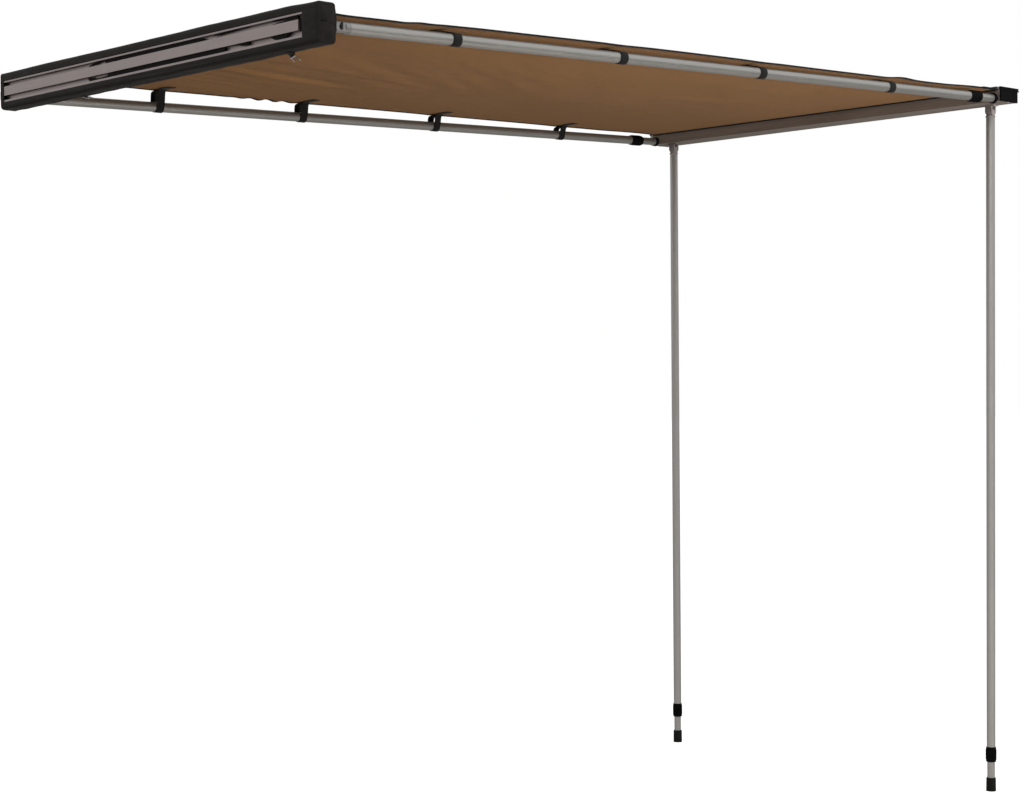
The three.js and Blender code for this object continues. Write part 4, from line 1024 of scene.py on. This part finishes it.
painted_slot_shade("painted_slot_shade_end", [
    [(549.8, 0.05), (555, 0.02), (560.2, 0.05), (560.4, 0.5), (560.2, 0.95), (555, 0.98), (549.8, 0.95),
     (549.6, 0.5)],
], -0.0120, 0.0130)


# Arm pins: a shaft with a round head inside and a dark upright bar outside; the pin is near-black so that the
# bar stands in for the shaded slot at the arm's knuckle: painted shade
SHAFT = [(0, -0.0124), (0.0050, -0.0124), (0.0058, -0.0116), (0.0058, -0.0103), (0.0039, -0.0103),
         (0.0039, 0.0103), (0, 0.0103)]
BAR_RADIUS, BAR_REACH = 0.0022, 0.0052
turns = [math.radians(10 + 20 * i) for i in range(18)]
BAR = [(BAR_RADIUS * math.cos(a), math.copysign(BAR_REACH, math.sin(a)) + BAR_RADIUS * math.sin(a))
       for a in turns]
for end, side in ENDS:
    profile = SHAFT if side > 0 else [(r, -h) for r, h in SHAFT[::-1]]
    shaft = turned(profile, (side * ARM_X, PIVOT_Y, PIVOT_Z), "X", 20)
    heads = [(side * (ARM_X + d), PIVOT_Y + 0.001, PIVOT_Z + 0.0015) for d in (0.0103, 0.0120, 0.0126)]
    shade_bar = swept(heads, (0, 1, 0), BAR if side > 0 else [(a, -b) for a, b in BAR])
    pin = merged(f"arm_hinge_pin_{end}", [shaft, shade_bar], DARK_STEEL)
    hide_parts(f"arm_pin_{end}")
    on("case", "steel", pin)


# Screws and pins on the rail's caps, and bare bands where the rail's coating ends
SCREW = [(0, -0.0014), (0.0026, -0.0012), (0.0033, -0.0004), (0.0033, 0.0), (0, 0.0)]
CAP_PIN = [(0, -0.001), (0.0013, -0.001), (0.0013, 0.0075), (0.0022, 0.0078), (0.0022, 0.0095),
           (0.0014, 0.0102), (0, 0.0102)]
BARE_BAND = [(-0.0021, -0.0003), (0.0021, -0.0003), (0.0021, 0.0003), (-0.0021, 0.0003)]
rail_low, rail_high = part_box("front_rail")
middle = (rail_high + rail_low) / 2
wide, tall = (rail_high.y - rail_low.y) / 2 + 0.0001, (rail_high.z - rail_low.z) / 2 + 0.0001
corners = [(-wide, -tall), (wide, -tall), (wide, tall), (-wide, tall), (-wide, -tall)]
for end, side in ENDS:
    low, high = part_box(f"rail_end_cap_{end}")
    x = (high.x - 0.0045) if side > 0 else (low.x + 0.0045)
    screw = turned(SCREW, (x, 2.243, low.z), "Z", 16)
    pin = turned(CAP_PIN, (x, high.y - 0.0025, 0.0745), "Y", 14)
    on("rail", "steel", merged(f"cap_fixings_{end}", [screw, pin], STEEL))
    x = rail_high.x - 0.0022 if side > 0 else rail_low.x + 0.0022
    band = []
    for (y0, z0), (y1, z1) in zip(corners, corners[1:]):
        along = [(x, middle.y + y0, middle.z + z0), (x, middle.y + y1, middle.z + z1)]
        band.append(swept(along, (1, 0, 0), BARE_BAND))
    on("rail", "rail_paint", merged(f"rail_bare_end_{end}", band, BARE_END))


# CAD nodes keep their shape and get their finish
FINISH = {
    "plate_aluminium": BRACKET, "tube_aluminium": ARM_TUBE, "rail_paint": RAIL, "steel": STEEL,
    "black_plastic": BLACK, "grey_plastic": KNUCKLE, "foot_rubber": RUBBER, "bag_fabric": BAG,
    "canopy_fabric": CANOPY, "webbing": WEBBING,
}
OWN_FINISH = {
    "backing_plate": PLATE, "leg_tube": LEG_TUBE, "leg_inner": LEG_TUBE, "arm_knuckle": ARM_END,
    "leg_pin": KNUCKLE,
}
for part in frame["record"]["subparts"]:
    name = part["node"]
    look = FINISH[part["material_slot"]]
    for start, own in OWN_FINISH.items():
        if name.startswith(start):
            look = own
    node = nodes[name]
    mesh = node.data
    mesh.materials.clear()
    mesh.materials.append(look.material)
    if node.hide_render:
        continue
    for old in ("custom_normal", "sharp_face"):
        if old in mesh.attributes:
            mesh.attributes.remove(mesh.attributes[old])
    mesh.polygons.foreach_set("use_smooth", [True] * len(mesh.polygons))
    weld = node.modifiers.new("weld", "WELD")
    weld.merge_threshold = 0.00002
    split = node.modifiers.new("edges", "EDGE_SPLIT")
    split.split_angle = math.radians(32)


# Floor, world and lamps
def studio_floor():
    look = Look("studio_floor", (0.44, 0.42, 0.40), 0.9, Specular_IOR_Level=0.1)
    grain = look.noise((3, 3, 3))
    look.set("Base Color", look.mix(grain, (0.43, 0.41, 0.39), (0.45, 0.43, 0.41)))
    path = look.node("LightPath", {})
    mirrored = look.math("MAXIMUM", path.outputs["Is Glossy Ray"], path.outputs["Is Transmission Ray"])
    seen = look.math("MAXIMUM", path.outputs["Is Camera Ray"], look.math("MULTIPLY", mirrored, 0.1))
    look.set("Emission Color", (1, 1, 1, 1))
    look.set("Emission Strength", look.math("MULTIPLY", seen, 0.92))
    return look


FLOOR_HALF = 90
corners = [(x * FLOOR_HALF, y * FLOOR_HALF, GROUND - 0.0005) for x, y in ((-1, -1), (1, -1), (1, 1), (-1, 1))]
floor = piece("studio_floor", corners, [(0, 1, 2, 3)], studio_floor())

# A white studio whose dark panel behind the object draws the edges of the round tubes
world = bpy.data.worlds.new("studio")
bpy.context.scene.world = world
world.use_nodes = True
sky = Nodes(world.node_tree)
background = world.node_tree.nodes["Background"]
path = sky.node("LightPath", {})
camera_ray = path.outputs["Is Camera Ray"]
seen = sky.math("MAXIMUM", camera_ray, sky.math("MAXIMUM", path.outputs["Is Glossy Ray"],
                                                path.outputs["Is Transmission Ray"]))
way = sky.node("TexCoord", {}).outputs["Generated"]
toward = sky.node("VectorMath", {0: way, 1: (-0.73, 0.68, 0.0)}, operation="DOT_PRODUCT").outputs["Value"]
height = sky.node("SeparateXYZ", {0: way}).outputs[2]
panel = sky.math("MULTIPLY", sky.spread(toward, 0.50, 0.92),
                 sky.spread(sky.math("ABSOLUTE", height), 0.1, 0.6, 1.0, 0.0))
shaded = sky.math("MULTIPLY", panel, sky.spread(camera_ray, 0.0, 1.0, 0.7, 0.0))
strength = sky.math("MULTIPLY", sky.spread(seen, 0.0, 1.0, 0.42, 1.0), sky.spread(shaded, 0.0, 1.0, 1.0, 0.0))
sky.feed(background.inputs["Strength"], strength)
background.inputs["Color"].default_value = (1, 1, 1, 1)


def lamp(name, place, target, size, power, mirrored=True):
    data = bpy.data.lights.new(name, "AREA")
    data.shape = "RECTANGLE"
    data.size, data.size_y = size
    data.energy = power
    obj = bpy.data.objects.new(name, data)
    way = Vector(target) - Vector(place)
    obj.rotation_mode = "QUATERNION"
    obj.rotation_quaternion = way.to_track_quat("-Z", "Y")
    obj.location = place
    obj.visible_camera = False
    obj.visible_glossy = mirrored
    bpy.context.scene.collection.objects.link(obj)


lamp("key", (3.2, -2.2, 3.2), (0.2, 0.8, -0.1), (2.4, 1.8), 95)
lamp("low", (3.3, 1.9, -0.72), (-0.1, 1.0, 0.02), (0.8, 0.7), 150, False)
lamp("side", (-4.0, 0.5, 0.6), (0, 1.0, -0.3), (2.4, 2.4), 30, False)
lamp("front", (0.5, -3.5, -0.6), (0.0, 1.5, 0.0), (3.0, 2.0), 46, False)

bpy.context.scene.view_settings.view_transform = "Standard"
